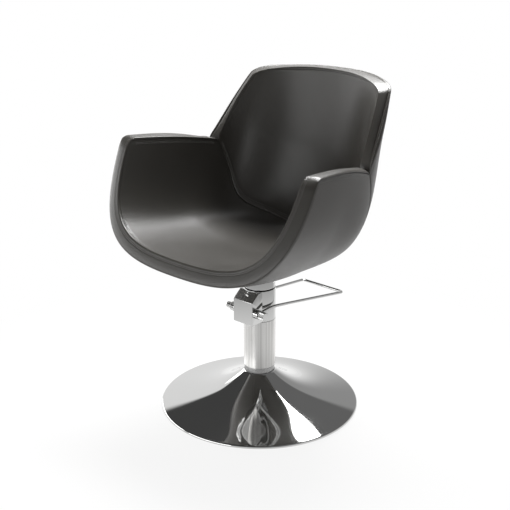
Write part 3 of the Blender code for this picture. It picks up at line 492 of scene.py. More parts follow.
def shell_face(stations, s, t):
    """Section at t: a cubic from the rim at s = -1 or 1, down the wall, along the floor to the keel at 0."""
    x, y, z, keel_y, keel_z, wall, flat, lead, lean = np.moveaxis(along_stations(stations, t), -1, 0)
    a = np.abs(s)
    u = 1 - a
    wide = np.sign(s) * x * (a ** 3 + 3 * a * a * u * (1 - lean) + 3 * a * u * u * flat)
    deep = 3 * a * a * u * wall + 3 * a * u * u + u ** 3
    ahead = deep * (1 + lead * (1 - deep))
    return np.stack([wide, y + (keel_y - y) * ahead, z + (keel_z - z) * deep], -1)


def bell(x):
    """A bump that is 1 at 0 and falls off on both sides."""
    return np.exp(-x ** 2)


def bent_face(stations, s, t):
    """The face, moved near the joint so that its crease lies under the bent seam."""
    across = np.abs(s)
    dip = SEAM_DIP * bell((across - SEAM_DIP_PLACE) / SEAM_DIP_REACH)
    joint = np.full(np.shape(s), JOINT)
    seam = joint + SEAM_RISE * (1 - across ** SEAM_LEVEL) - dip
    move = shell_face(stations, s, seam) - shell_face(stations, s, joint)
    return shell_face(stations, s, t) + move * (4 * t * (1 - t))[..., None] ** 2


# %% Points of the shell
def rim_run(t):
    """Metres of wall for each unit of s, at the rim."""
    rows = along_stations(LINING, np.asarray(t, float))
    x, y, z, keel_y, keel_z, wall, _, _, lean = np.moveaxis(rows, -1, 0)
    return 3 * np.sqrt((x * lean) ** 2 + (np.hypot(keel_y - y, keel_z - z) * wall) ** 2)


def keel_run(t0, t1):
    """Metres of shell for each unit of t, on the centre line."""
    here, there = along_stations(LINING, np.array([t0, t1]))[:, 3:5]
    return np.linalg.norm(there - here) / (t1 - t0)


FRONT_RUN, TOP_RUN, JOINT_RUN = keel_run(0.0, 0.05), keel_run(0.95, 1.0), keel_run(0.5, 0.55)


def shell_point(s, t, w):
    """A point of the shell, its corners pulled in from a square to a round one first."""
    low = t < JOINT
    size = np.where(low, ARM_CORNER, TOP_CORNER)
    end = size / np.where(low, FRONT_RUN, TOP_RUN)
    side = size / np.where(low, rim_run(0.0), rim_run(1.0))
    a = np.clip((np.abs(s) - 1 + side) / side, 0.0, 1.0)
    b = np.clip(1 - np.minimum(t, 1 - t) / end, 0.0, 1.0)
    s_in = side * a * (1 - np.sqrt(1 - b * b / 2))
    t_in = end * b * (1 - np.sqrt(1 - a * a / 2))
    s, t = s - np.sign(s) * s_in, t + np.where(low, t_in, -t_in)
    w = np.asarray(w, float)[..., None]
    return bent_face(LINING, s, t) * (1 - w) + bent_face(OUTSIDE, s, t) * w


SHELL_DEPTH = np.linalg.norm(LINING[JOINT_ROW, 1:4] - OUTSIDE[JOINT_ROW, 1:4])
print("shell is", round(SHELL_DEPTH / MM, 1), "mm thick at the arm's rear end")

# %% [markdown]
# ## Leather panels
# Five panels are sewn round the core: the seat with the inner arms, the back, a cover under each arm and one
# behind. A sewn panel lies taut over its foam and rolls over into the seam, with a faint row of puckers where
# the stitches pull. It could be inflated by a cloth simulation, but this hide is glued taut to a moulded core
# and shows no slack, so the face is the shell itself, drawn in along its own normal near each seam. Rows of
# the grid crowd together where the leather rolls over.

# %% Panel surface
BAND_DEPTH = 0.007
SEAM_GAP = 0.0005
EDGE = np.array([0.0, 0.4, 1.0, 1.8, 2.8, 3.8, 4.8, 5.6, 6.4, 7.4, 9.0, 12.0, 15.0, 18.0, 22.0]) * MM
ROLL, PULL = 0.0036, 0.0018  # how far from the seam a panel starts to roll over, and how deep it goes
FLUSH = 0.0004  # how deep where two panels meet level
VALLEY_ROLL, VALLEY = 0.0090, 0.0042  # and where a side cover dips deeply under the arm's band
STITCH_OFF = 0.0060  # from the seam to the row of stitches
GROOVE, GROOVE_WIDTH = 0.0005, 0.0013  # how the row sinks
PUCKER, PUCKER_PLACE, PUCKER_REACH = 0.00035, 0.0020, 0.0060
PUCKER_WAVES, PUCKER_SHIFTS = np.array([610, 570, 530]), np.array([0, 2, 4])
KEEL_RUN = 0.38  # metres for each unit of s under the seat
KEEL_ROWS, KEEL_CLEAR = 8, 0.8  # rows of EDGE beside the seam there, and how the others keep clear
LIP = 0.0028  # how far the back's lower edge stands proud of the seat
LIP_WIDTH, LIP_ROLL = 0.020, 0.011
RUBBED, BAND_RUBBED = 0.005, 0.006  # how far from a seam the coat is rubbed


def quarter_round(x):
    """Falls from 1 at 0 to nothing at 1, as a quarter circle does."""
    return 1 - np.sqrt(1 - (1 - np.clip(x, 0, 1)) ** 2)


def unit_towards(n, out):
    """Vectors of length 1 along n, turned to the side that out points to."""
    return unit(n * np.sign(np.sum(n * out, -1, keepdims=True)))


class Panel:
    """A stretch of the shell's lining or outside, from the arm-back joint to the front or to the top."""

    def __init__(self, face, inner, joint, end, run, toward, sewn_keel=0, lip=0.0, roll=ROLL, pull=PULL,
                 groove=GROOVE):
        self.face, self.inner, self.joint, self.end, self.run = face, inner, joint, end, run
        self.toward, self.sewn_keel, self.lip, self.groove = toward, sewn_keel, lip, groove
        self.roll, self.pull = np.array([roll, roll, ROLL, ROLL]), np.array([pull, pull, PULL, PULL])

    def limit(self, t):
        """The number s at the panel's edge."""
        return 1 - (BAND_DEPTH + SEAM_GAP) / rim_run(t)

    def seams(self, s, t):
        """Metres to the band beside, to the band ahead, to the joint and to the seam on the centre line."""
        rim = (self.limit(t) - np.abs(s)) * rim_run(t)
        far = np.abs(t - self.end) * self.run
        keel = np.abs(s) * KEEL_RUN if self.sewn_keel else np.full(np.shape(s), 1.0)
        return np.stack(np.broadcast_arrays(rim, far, np.abs(t - self.joint) * JOINT_RUN, keel))

    def normal(self, s, t):
        """Outward normal: the cross product of the steps along s and t."""
        w, h = np.full(np.shape(s), float(self.face)), 1e-4
        t = np.clip(t, min(self.joint, self.end) + h, max(self.joint, self.end) - h)
        n = np.cross(shell_point(s + h, t, w) - shell_point(s - h, t, w),
                     shell_point(s, t + h, w) - shell_point(s, t - h, w))
        return unit_towards(n, shell_point(s, t, w) - shell_point(s, t, w * 0 + 0.5))

    def skin(self, s, t):
        """The exposed face: a quarter round into each seam, a groove under the stitches, puckers beside it, and
        a flat-topped bell for the lip."""
        gap = self.seams(s, t)
        roll, pull = (np.expand_dims(v, tuple(range(1, gap.ndim))) for v in (self.roll, self.pull))
        over = pull * quarter_round(gap / roll)
        near = gap.min(0)
        place = shell_point(s, t, np.full(np.shape(s), float(self.face)))
        ripple = np.sin(place * PUCKER_WAVES + PUCKER_SHIFTS).mean(-1)
        drop = (over.max(0) + self.groove * bell((near - STITCH_OFF) / GROOVE_WIDTH)
                + PUCKER * ripple * bell((near - PUCKER_PLACE) / PUCKER_REACH))
        lip = self.lip * bell((gap[2] / LIP_WIDTH) ** 2) * (1 - quarter_round(gap[2] / LIP_ROLL)) * (1 - s ** 4)
        return place + (lip - drop)[..., None] * self.normal(s, t)

    def grid(self, side, cells_s, cells_t):
        """s and t of the grid, whole or one side, with the rows of EDGE along every seam."""
        share = np.concatenate([np.linspace(0, 1, cells_s), np.ones(len(EDGE) - 1)])
        off = np.concatenate([np.full(cells_s, EDGE[-1]), EDGE[-2::-1]])
        if side:
            share = share * side
        else:
            share, off = np.concatenate([-share[:0:-1], share]), np.concatenate([off[:0:-1], off])
        head = self.joint + self.toward * EDGE / JOINT_RUN
        tail = self.end - self.toward * EDGE[::-1] / self.run
        t = np.concatenate([head, np.linspace(head[-1], tail[0], cells_t)[1:-1], tail])[:, None]
        s = share * (self.limit(t) - off / rim_run(t))
        if side:
            first = EDGE[:KEEL_ROWS] / KEEL_RUN + SEAM_GAP / KEEL_RUN
            clear = np.abs(share) * KEEL_CLEAR > first[-1]
            s = np.concatenate([side * np.repeat(first[None], len(t), 0), s[:, clear]], 1)
        return s, np.repeat(t, s.shape[1], 1)


# %% Seat, back and covers
SEAM_T = SEAM_GAP / 2 / JOINT_RUN
FRONT_T = (BAND_DEPTH + SEAM_GAP) / FRONT_RUN
TOP_T = 1 - (BAND_DEPTH + SEAM_GAP) / TOP_RUN
PAD_SHARE, COVER_SHARE = 0.36, 0.24  # of the shell's thickness
seat_panel = Panel(0, PAD_SHARE, JOINT - SEAM_T, FRONT_T, FRONT_RUN, -1)
back_panel = Panel(0, PAD_SHARE, JOINT + SEAM_T, TOP_T, TOP_RUN, 1, lip=LIP, pull=FLUSH, groove=0.0)
side_panel = Panel(1, 1 - COVER_SHARE, JOINT - SEAM_T, FRONT_T, FRONT_RUN, -1, 1, roll=VALLEY_ROLL, pull=VALLEY)
rear_panel = Panel(1, 1 - COVER_SHARE, JOINT + SEAM_T, TOP_T, TOP_RUN, 1, pull=FLUSH)


def add_panel(name, panel, side, cells_s, cells_t, node):
    """A closed pad: the skin, the shell's inner layer behind it, and walls round the edge between them."""
    s, t = panel.grid(side, cells_s, cells_t)
    rows, cols = s.shape
    skin = panel.skin(s, t)
    inside = shell_point(s, t, np.full(s.shape, panel.inner))
    near = bell(panel.seams(s, t).min(0) / RUBBED)
    n = rows * cols
    number = np.arange(n).reshape(rows, cols)
    edge = np.concatenate([number[0, :-1], number[:-1, -1], number[-1, :0:-1], number[:0:-1, 0]])
    after = np.roll(edge, -1)
    face = grid_quads(rows, cols)
    walls = np.stack([after, edge, edge + n, after + n], -1)
    quads = np.concatenate([face, face[:, ::-1] + n, walls])
    piece = add_piece(name, [(np.stack([skin, inside]), quads)], leather, "seat", (node,),
                      marks=np.stack([near, near * 0]))
    return piece


add_panel("seat_leather", seat_panel, 0, 78, 80, "seat_pad")
add_panel("back_leather", back_panel, 0, 70, 80, "back_pad")
add_panel("rear_leather", rear_panel, 0, 60, 70, "rear_cover")
left = add_panel("side_leather_left", side_panel, -1, 90, 70, "side_cover_left")
right = add_panel("side_leather_right", side_panel, 1, 90, 70, "side_cover_right")

# %% [markdown]
# ## Edge bands
# A padded band runs round the seat's front and the arms, and another over the back. Each is a profile carried
# along the rim: highest near its inner seam, rolled over further at the outer one, and tucked in where the two
# bands meet at the rear of the arms, with a few folds in the tuck. On the back the rear cover wraps over the
# edge, so the outer part of that band is a strip of the cover behind a welt. The path is measured first, so
# that its rows are even.

# %% Band surface
BAND_CELL, PATH_STEPS = 0.004, 900
CROWN = 0.30  # share of the width at which the band stands highest
ARM_INNER, BACK_INNER = 0.0016, 0.0004  # how far its inner edge stands back from there
ARM_ROLL, BACK_ROLL = 0.0058, 0.0036  # and its outer edge
BAND_POWER = 2.2
BAND_ROWS, BELOW_ROWS = 81, 7  # across its face and its underside
HEM = 0.0004  # a row this far from the lower corners keeps the flanks' shading flat
TUCK, TUCK_REACH = 0.0060, 0.016  # how deep an end goes in
FOLD, FOLD_PITCH, FOLD_REACH, FOLD_SLANT = 0.0012, 0.009, 0.012, 0.6  # folds beside the tuck
SWELL, SWELL_PLACE, SWELL_REACH = 0.0022, 0.024, 0.011  # the arm band bulges before its tuck
ARM_ROWS = (0.17, 0.27)  # shares of the width, from the lining's seam to each row of stitches
WELT_CORNER, WELT_SIDE = 0.20, 0.36  # shares of the width that the rear cover takes at the top and beside it
WELT_START, WELT_END = 0.75, 3  # powers that shape the way from one to the other
WELT_ROLL = 0.0055  # how far the cover rolls over to the rear there
WELT_EDGE, WELT_EDGE_WIDTH = 0.0016, 0.0025  # and how its own edge rolls down into the seam


def arc_length(path):
    """Metres along a path to each of its points: the steps' lengths, summed."""
    return np.concatenate([[0.0], np.cumsum(np.linalg.norm(np.diff(path, axis=0), axis=1))])


class Band:
    """A band from the joint on one side to the joint on the other."""

    def __init__(self, joint, end, run, inner_roll, outer_roll, rows=(), welted=False, swell=0.0):
        self.joint, self.end, self.run, self.rows, self.swell = joint, end, run, rows, swell
        self.inner_roll, self.outer_roll = inner_roll, outer_roll
        leg, rail = np.linspace(0, 1, PATH_STEPS), np.linspace(-1, 1, 2 * PATH_STEPS)[1:-1]
        side = np.concatenate([leg * 0 - 1, rail, leg * 0 + 1])
        up = np.concatenate([leg, rail * 0 + 1, leg[::-1]])
        arc = arc_length(shell_point(side, joint + (end - joint) * up, np.full(side.shape, 0.5)))
        self.length = arc[-1]
        self.arc = np.linspace(0, arc[-1], int(arc[-1] / BAND_CELL) + 1)
        self.side, self.up = np.interp(self.arc, arc, side), np.interp(self.arc, arc, up)
        self.rest = np.minimum(self.arc, self.length - self.arc)[:, None]
        self.tuck = TUCK * quarter_round(self.rest / TUCK_REACH)
        cover = WELT_SIDE * np.sin(np.pi * self.up ** WELT_START) + WELT_CORNER * self.up ** WELT_END
        self.welt = 1 - welted * cover[:, None]

    def place(self, w, depth):
        """Points over the path (rows) at share w of the thickness and depth metres in from the rim."""
        side, up = self.side[:, None], self.up[:, None]
        inward = np.sign(self.joint - self.end) * depth / self.run
        t = self.joint + (self.end + inward - self.joint) * up
        return shell_point(side * (1 - depth / rim_run(t)), t, np.broadcast_to(w, t.shape))

    def skin(self, w):
        """The exposed face: a flattened arch across, tucked and folded at the ends, grooved for stitches. Past
        the welt it is the rear cover: a rolled edge, then a quarter round."""
        across = np.clip(w / self.welt, 0, 1)
        inner = across < CROWN
        off = np.abs(across - CROWN) / np.where(inner, CROWN, 1 - CROWN)
        fall = np.where(inner, self.inner_roll, self.outer_roll)
        arch = fall * (1 - (1 - off ** BAND_POWER) ** (1 / BAND_POWER))
        past = np.clip((w - self.welt) / np.maximum(1 - self.welt, MERGE), 0, 1)
        edge = np.clip((w - self.welt) * SHELL_DEPTH / WELT_EDGE_WIDTH, 0, 1)
        cover = WELT_ROLL * quarter_round(1 - past) + WELT_EDGE * (1 - edge) ** 2
        arch = np.where(w > self.welt, cover, arch)
        wave = np.sin(2 * np.pi * (FOLD_SLANT * w + self.rest / FOLD_PITCH))
        fold = FOLD * np.exp(-self.rest / FOLD_REACH) * wave
        groove = sum(GROOVE * bell((w - row) * SHELL_DEPTH / GROOVE_WIDTH) for row in self.rows)
        swell = self.swell * bell((self.rest - SWELL_PLACE) / SWELL_REACH) * np.sin(np.pi * w)
        return self.place(w, arch + self.tuck + fold + groove - swell)

    def add(self, name, node):
        """A closed tube: the exposed face, a flank on each side and the underside."""
        w = (0.5 - 0.5 * np.cos(np.pi * np.linspace(0, 1, BAND_ROWS)))[None]
        low = BAND_DEPTH + self.tuck
        below = self.place(np.linspace(1, 0, BELOW_ROWS)[None], low.repeat(BELOW_ROWS, 1))
        hems = [self.place(np.full((1, 1), edge), low - HEM) for edge in (1.0, 0.0)]
        tube, quads = closed(np.concatenate([self.skin(w), hems[0], below, hems[1]], 1))
        marks = np.zeros(tube.shape[:2])
        marks[1:-1, :BAND_ROWS] = bell(np.minimum(w, 1 - w) * SHELL_DEPTH / BAND_RUBBED)
        piece = add_piece(name, [(tube, quads)], leather, "seat", (node,), marks=marks)


seat_edge = Band(JOINT - SEAM_T, 0.0, FRONT_RUN, ARM_INNER, ARM_ROLL, rows=ARM_ROWS, swell=SWELL)
back_edge = Band(JOINT + SEAM_T, 1.0, TOP_RUN, BACK_INNER, BACK_ROLL, welted=True)
seat_edge.add("arm_band", "seat_band")
back_edge.add("back_band_leather", "back_band")
print("bands are", round(seat_edge.length, 3), "and", round(back_edge.length, 3), "m long")

# %% [markdown]
# ## Stitches
# The seams are topstitched: two rows on the arm band and two below it on each inner arm, two along the back's
# lower edge, one round each outer cover and one beside the welt on the sides of the back. Each stitch is a
# short length of thread that rises from the leather and dives back, so a row is one small capsule repeated
# along a path by its length. As geometry it catches the light as a thread does, which a line of bump can't.

# %% Stitch rows
STITCH_PITCH, STITCH_LENGTH = 0.0052, 0.0042
THREAD_RADIUS = 0.00048
STITCH_SHAPE = np.array([-0.5, -0.42, -0.22, 0.22, 0.42, 0.5])  # rings along a stitch, in lengths
STITCH_THICK = np.array([0.0, 0.8, 1.0, 1.0, 0.8, 0.0])  # and how thick and how high each is, in radii
STITCH_RISE = np.array([-1.2, -0.3, 0.35, 0.35, -0.3, -1.2])
STITCH_SIDES = 6
ROW_STEPS, ROW_STEP = 500, 0.02  # points along a row by the joint, and the step that gives a band's normal


def stitch_row(path, normal):
    """Capsules along a path: thickness falls to nothing at both ends, and the middle stands proud."""
    arc = arc_length(path)
    centre = np.arange(STITCH_PITCH, arc[-1] - STITCH_PITCH, STITCH_PITCH)[:, None]
    spot = centre + STITCH_SHAPE * STITCH_LENGTH
    at, up = (np.stack([np.interp(spot, arc, v[:, k]) for k in range(3)], -1) for v in (path, normal))
    across = unit(np.cross(at[:, -1:] - at[:, :1], up))
    turn = np.linspace(0, 2 * np.pi, STITCH_SIDES, endpoint=False)[:, None]
    ring = np.cos(turn) * across[:, :, None] + np.sin(turn) * up[:, :, None]
    middle = at + up * (THREAD_RADIUS * STITCH_RISE[:, None])
    points = middle[:, :, None] + ring * (THREAD_RADIUS * STITCH_THICK[:, None, None])
    count, rings = points.shape[:2]
    cell = grid_quads(rings, STITCH_SIDES, loop_cols=True)
    quads = cell[None] + (np.arange(count) * rings * STITCH_SIDES)[:, None, None]
    return points.reshape(-1, 3), quads.reshape(-1, 4)


def on_panel(panel, s, t):
    """A row over a panel's numbers s and t."""
    return stitch_row(panel.skin(s, t), panel.normal(s, t))


def beside_band(panel, band, keep=slice(None), off=STITCH_OFF):
    """A row some way in from the band round a panel, over the part of the band's path to keep."""
    side, up = band.side[keep], band.up[keep]
    tail = panel.end - panel.toward * off / panel.run
    t = panel.joint + (tail - panel.joint) * up
    return on_panel(panel, side * (panel.limit(t) - off / rim_run(t)), t)


def beside_joint(panel, off=STITCH_OFF):
    """A row some way from the seam between seat and back."""
    t = np.full(ROW_STEPS, panel.joint + panel.toward * off / JOINT_RUN)
    return on_panel(panel, np.linspace(-1, 1, ROW_STEPS) * (panel.limit(t) - 2 * STITCH_OFF / rim_run(t)), t)


def on_band(band, w, keep=slice(None)):
    """A row along the part of a band's path to keep, at share w of its width."""
    w = np.broadcast_to(w, (len(band.arc), 1))
    rows = band.skin(np.concatenate([w, w + ROW_STEP], 1))
    path, beside = rows[:, 0], rows[:, 1]
    out = path - band.place(w, np.full((1, 1), BAND_DEPTH))[:, 0]
    normal = unit_towards(np.cross(np.gradient(path, axis=0), beside - path), out)
    return stitch_row(path[keep], normal[keep])


# %% Where the rows run
WELT_STITCH = 0.45  # share of the rear cover's strip, from the welt to its row
WELT_ROW_END = 0.90  # share of the back's side at which that row ends
ARM_OFFS = (0.0070, 0.0105)  # metres from the inner edge of each arm to the rows below it
ARM_START, ARM_END = 0.06, 0.97  # shares of the arm between which they run
LIP_OFFS = (0.0100, 0.0150)  # metres from the back's lower edge to its rows
KEEL_FREE = 0.03  # how far the rows of the side covers stay from the centre line

welt_row = back_edge.welt + WELT_STITCH * (1 - back_edge.welt)
edges = [(back_edge.side == end) & (back_edge.up < WELT_ROW_END) for end in (-1, 1)]
arms = [(seat_edge.side == end) & (seat_edge.up > ARM_START) & (seat_edge.up < ARM_END) for end in (-1, 1)]
STITCHES = {
    "stitches_band": [on_band(seat_edge, row) for row in ARM_ROWS]
    + [on_band(back_edge, welt_row, edge) for edge in edges],
    "stitches_arms": [beside_band(seat_panel, seat_edge, arm, off) for arm in arms for off in ARM_OFFS],
    "stitches_joint": [beside_joint(back_panel, off) for off in LIP_OFFS],
    "stitches_sides": [beside_band(side_panel, seat_edge, seat_edge.side < -KEEL_FREE),
                       beside_band(side_panel, seat_edge, seat_edge.side > KEEL_FREE)],
    "stitches_rear": [beside_band(rear_panel, back_edge), beside_joint(rear_panel)],
}
for name, rows in STITCHES.items():
    add_piece(name, rows, thread, "seat")

# %% [markdown]
# ## The opening for the seat plate
# The steel seat plate sits in a round recess under the tub, with its four bolt heads in reach. The recess
# crosses the seam between the two side covers, so it is cut from the finished leather with a boolean, which
# keeps the cut round where a grid would step.


# %% Recess under the seat
def turned(profile, sides, loop=False):
    """A profile of radius and height carried round the Z axis."""
    turn = np.linspace(0, 2 * np.pi, sides, endpoint=False)
    r, z = np.asarray(profile, float).T[:, :, None]
    points = np.stack([r * np.cos(turn), r * np.sin(turn), z + turn * 0], -1)
    return points, grid_quads(len(points), sides, loop_rows=loop, loop_cols=True)


def oblong(inner, outer, low, high):
    """The corners of a profile with straight sides."""
    return [(inner, low), (outer, low), (outer, high), (inner, high)]


plate_low, plate_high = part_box("seat_plate")
RECESS_RADIUS = plate_high.x + 0.0004
RECESS_LOW, RECESS_TOP = 0.33, plate_high.z + 0.0003
recess = turned(oblong(0, RECESS_RADIUS, RECESS_LOW, RECESS_TOP), 96)
cutter = bpy.data.objects.new("recess", welded("recess", [recess]))
scene.collection.objects.link(cutter)
for cover in (left, right):
    step = cover.modifiers.new("recess", "BOOLEAN")
    step.operation, step.object, step.solver = "DIFFERENCE", cutter, "EXACT"
    bpy.context.view_layer.update()
    opened = bpy.data.meshes.new_from_object(cover.evaluated_get(bpy.context.evaluated_depsgraph_get()))
    cover.modifiers.clear()
    cover.data = opened
    opened.set_sharp_from_angle(angle=math.radians(CUT_SHARP))
bpy.data.objects.remove(cutter)
print("recess", round(2 * RECESS_RADIUS / MM, 1), "mm across")

# %% [markdown]
# ## Turned metal
# The base, the column and the collar are all bodies of revolution, so each is a profile in radius and height.
# A real edge is never sharp: it carries a small round that draws a bright line in chrome. One function rounds
# every corner of a profile, and adds a point on each side of the round so that the flats stay flat.

# %% Profiles with eased edges
CUT_SHARE, HELD_SHARE = 0.42, 0.48  # of an edge that a round and its holding point may take


def eased(corners, radius, loop=False, steps=6, hold=0.0004):
    """A polyline with each corner replaced by a quadratic arc between two holding points."""
    p = np.asarray(corners, float)
    before, after = np.roll(p, 1, 0) - p, np.roll(p, -1, 0) - p
    reach = [np.linalg.norm(v, axis=1, keepdims=True) for v in (before, after)]
    size = np.broadcast_to(np.asarray(radius, float).reshape(-1, 1), (len(p), 1))
    cut = [np.minimum(size, CUT_SHARE * length) for length in reach]
    held = [np.minimum(c + hold, HELD_SHARE * length) for c, length in zip(cut, reach)]
    ways = [before / reach[0], after / reach[1]]
    start, end = p + ways[0] * cut[0], p + ways[1] * cut[1]
    u = np.linspace(0, 1, steps)[None, :, None]
    arc = start[:, None] * (1 - u) ** 2 + p[:, None] * 2 * u * (1 - u) + end[:, None] * u ** 2
    arc = np.concatenate([(p + ways[0] * held[0])[:, None], arc, (p + ways[1] * held[1])[:, None]], 1)
    if loop:
        return arc.reshape(-1, p.shape[1])
    return np.concatenate([p[:1], arc[1:-1].reshape(-1, p.shape[1]), p[-1:]])


# %% [markdown]
# The trumpet cover is spun from one sheet: a cone and a power curve, added, from the neck to the rim, which is
# rolled under at the edge.

# %% Trumpet base
BASE_RADIUS, BASE_SHEET = 0.265, 0.002
RIM_ROUND, RIM_TOP = 0.0045, 0.0115
NECK_RADIUS, NECK_TOP = 0.0418, 0.0990
CONE, FLARE = 0.45, 3.2  # share of the rise that is a plain cone, and the power of the rest
RIM_CENTRE = BASE_RADIUS - RIM_ROUND
RIM_TILT = math.atan(CONE * (NECK_TOP - RIM_TOP) / (RIM_CENTRE - NECK_RADIUS))
FLARE_END = RIM_CENTRE + RIM_ROUND * math.sin(RIM_TILT)
FLARE_FOOT = RIM_TOP - RIM_ROUND * (1 - math.cos(RIM_TILT))


def trumpet(r):
    """Height of the trumpet over a radius: a cone and a power curve, added."""
    u = (FLARE_END - r) / (FLARE_END - NECK_RADIUS)
    return FLARE_FOOT + (NECK_TOP - FLARE_FOOT) * (CONE * u + (1 - CONE) * u ** FLARE)


flare = NECK_RADIUS + (FLARE_END - NECK_RADIUS) * np.linspace(0, 1, 90)
slope = np.gradient(trumpet(flare), flare)
lie = np.stack([flare, trumpet(flare)], -1)
fall = np.stack([slope, -np.ones_like(slope)], -1) / np.hypot(slope, 1)[:, None]
roll = np.linspace(RIM_TILT, np.pi, 19)[1:, None]
rim = np.concatenate([RIM_CENTRE + RIM_ROUND * np.sin(roll), RIM_TOP - RIM_ROUND * (1 - np.cos(roll))], 1)
curl = np.array([(-0.8, 2.9), (-1.2, 4.0), (-0.8, 7.0)]) * MM + (RIM_CENTRE, 0.0)
lip = np.array([(-1.7, 0.5), (-1.0, 0.8), (-0.3, 0.6)]) * MM + (NECK_RADIUS, NECK_TOP)
under = (lie + fall * BASE_SHEET)[::-1]
base_profile = np.concatenate([lie, rim, curl, under[3:], lip])
add_piece("trumpet_base", [turned(base_profile, 240, loop=True)], chrome, "base", ("base_cover",),
          SHARP)

# %% [markdown]
# The column stands on a chrome foot ring, given the darker steel finish to paint in the darker reflection of
# the grey base that it shows. The column's satin tube carries the pump head, and the polished ram slides
# inside.

# %% Column, foot ring and ram
SPIGOT_RADIUS, FLANGE_RADIUS, FLANGE_DEPTH = 0.0395, 0.066, 0.010
COLUMN_BORE, TENON_RADIUS, TUBE_WALL = 0.0323, 0.0372, 0.005
RING_FLARE, RING_GAP, RING_EDGE, RING_FOOT = 0.0016, 0.0004, 0.0008, 0.0012
tube_low, tube_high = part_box("column_tube")
foot_low, foot_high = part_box("column_spigot")
flange_top, ring_top = foot_low.z + FLANGE_DEPTH, tube_low.z - RING_GAP
ring_radius = SPIGOT_RADIUS + RING_FLARE
spigot = eased([(COLUMN_BORE, foot_low.z), (FLANGE_RADIUS, foot_low.z), (FLANGE_RADIUS, flange_top),
                (SPIGOT_RADIUS, flange_top), (SPIGOT_RADIUS, NECK_TOP + RING_FOOT),
                (ring_radius, ring_top - RING_EDGE), (ring_radius, ring_top), (TENON_RADIUS, ring_top),
                (TENON_RADIUS, foot_high.z), (COLUMN_BORE, foot_high.z)], 0.0007, loop=True)
# painted reflection: the darker steel finish stands in for the grey base that the chrome ring reflects
add_piece("foot_ring", [turned(spigot, 160, loop=True)], steel, "base", ("column_spigot",), SHARP)
tube = eased(oblong(tube_high.x - TUBE_WALL, tube_high.x, tube_low.z, tube_high.z), 0.0008, loop=True)
add_piece("satin_column", [turned(tube, 160, loop=True)], satin, "base", ("column_tube",), SHARP)
ram_low, ram_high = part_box("ram_rod")
ram = eased(oblong(0, ram_high.x, ram_low.z, ram_high.z), 0.0010)
add_piece("polished_ram", [turned(ram, 96)], steel, "ram", ("ram_rod",), SHARP)

# %% [markdown]
# The pump head is one casting: a round body as wide as the column and a square block in front, with a sloping
# face. The block is an outline carried sideways, set in a little at both ends for its rounded edges. Its rear
# ends inside the body's wall, so the piston has room to rise.

# %% Pump head
head_low, head_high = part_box("pump_head")
HEAD_RADIUS, GLAND, GLAND_FLOOR = head_high.y, 0.0238, 0.3003
BLOCK_WIDTH, BLOCK_SHOULDER, BLOCK_TOP, SLOPE_REACH = 0.033, 0.313, 0.3335, 0.025
BLOCK_EDGE, BLOCK_CORNER = 0.0014, 0.0012
BLOCK_CELLS, EDGE_STEPS = 24, 6
REAR_RADIUS = 0.0375  # of the round on which the block ends


def inset(corners, size):
    """A convex outline moved in by a set distance: each corner slides along its bisector."""
    p = np.asarray(corners, float)
    a, b = unit(p - np.roll(p, 1, 0)), unit(np.roll(p, -1, 0) - p)
    lift = np.abs(a[:, :1] * b[:, 1:] - a[:, 1:] * b[:, :1])
    return p + (b - a) / lift * size


outline = [(head_low.y, head_low.z), (head_low.y, BLOCK_SHOULDER), (head_low.y + SLOPE_REACH, BLOCK_TOP),
           (0.0, BLOCK_TOP), (0.0, head_low.z)]
quarter = np.linspace(0, np.pi / 2, EDGE_STEPS)
steps_in = BLOCK_EDGE * (1 - np.sin(quarter))
half_rows = BLOCK_WIDTH - BLOCK_EDGE * (1 - np.cos(quarter))
rings = np.stack([eased(inset(outline, step), BLOCK_CORNER, loop=True) for step in steps_in])
between = np.linspace(-half_rows[-1], half_rows[-1], BLOCK_CELLS + 1)[1:-1]
ring_of = np.concatenate([np.arange(EDGE_STEPS), np.full(len(between), EDGE_STEPS - 1),
                          np.arange(EDGE_STEPS)[::-1]])
x_of = np.concatenate([-half_rows, between, half_rows[::-1]])[:, None, None]
block = np.concatenate([np.broadcast_to(x_of, (len(x_of), rings.shape[1], 1)), rings[ring_of]], -1)
block[..., 1] = np.minimum(block[..., 1], -np.sqrt(REAR_RADIUS ** 2 - x_of[..., 0] ** 2))
head = eased([(COLUMN_BORE, head_low.z), (HEAD_RADIUS, head_low.z), (HEAD_RADIUS, head_high.z),
              (GLAND, head_high.z), (GLAND, GLAND_FLOOR), (COLUMN_BORE, GLAND_FLOOR)], 0.0010, loop=True)
add_piece("pump_head_casting", [turned(head, 160, loop=True), closed(block)], chrome, "base",
          ("pump_head",), CAST_SHARP)

# %% [markdown]
# A socket screw closes the release valve on the sloping face. Its head is a turned profile whose socket turns
# hexagonal towards the bottom, so the radius depends on the angle there.

# %% Valve screw
VALVE_RADIUS, VALVE_HEIGHT, VALVE_PLACE, VALVE_LIFT = 0.0055, 0.0040, 0.70, 0.0003
SHANK_RADIUS, SHANK_LENGTH = 0.0040, 0.0077
SOCKET, SOCKET_RIM = 0.0026, 0.0006
valve = eased([(0, -SHANK_LENGTH), (SHANK_RADIUS, -SHANK_LENGTH), (SHANK_RADIUS, 0), (VALVE_RADIUS, 0),
               (VALVE_RADIUS, VALVE_HEIGHT), (SOCKET + SOCKET_RIM, VALVE_HEIGHT)], 0.0005)
pocket = np.array([(SOCKET, VALVE_HEIGHT - 0.0005), (SOCKET, 0.0012), (0, 0.0010)])
points, quads = turned(np.concatenate([valve, pocket]), 96)
angle = np.arctan2(points[..., 1], points[..., 0])
hexagon = np.cos(np.pi / 6) / np.cos((angle % (np.pi / 3)) - np.pi / 6)
points[-3:-1, :, :2] *= hexagon[-3:-1, :, None]
slope_angle = math.atan2(BLOCK_TOP - BLOCK_SHOULDER, SLOPE_REACH)
flat, steep = math.cos(slope_angle), math.sin(slope_angle)
x, y, z = np.moveaxis(points, -1, 0)
y0 = head_low.y + SLOPE_REACH * VALVE_PLACE - VALVE_LIFT * steep
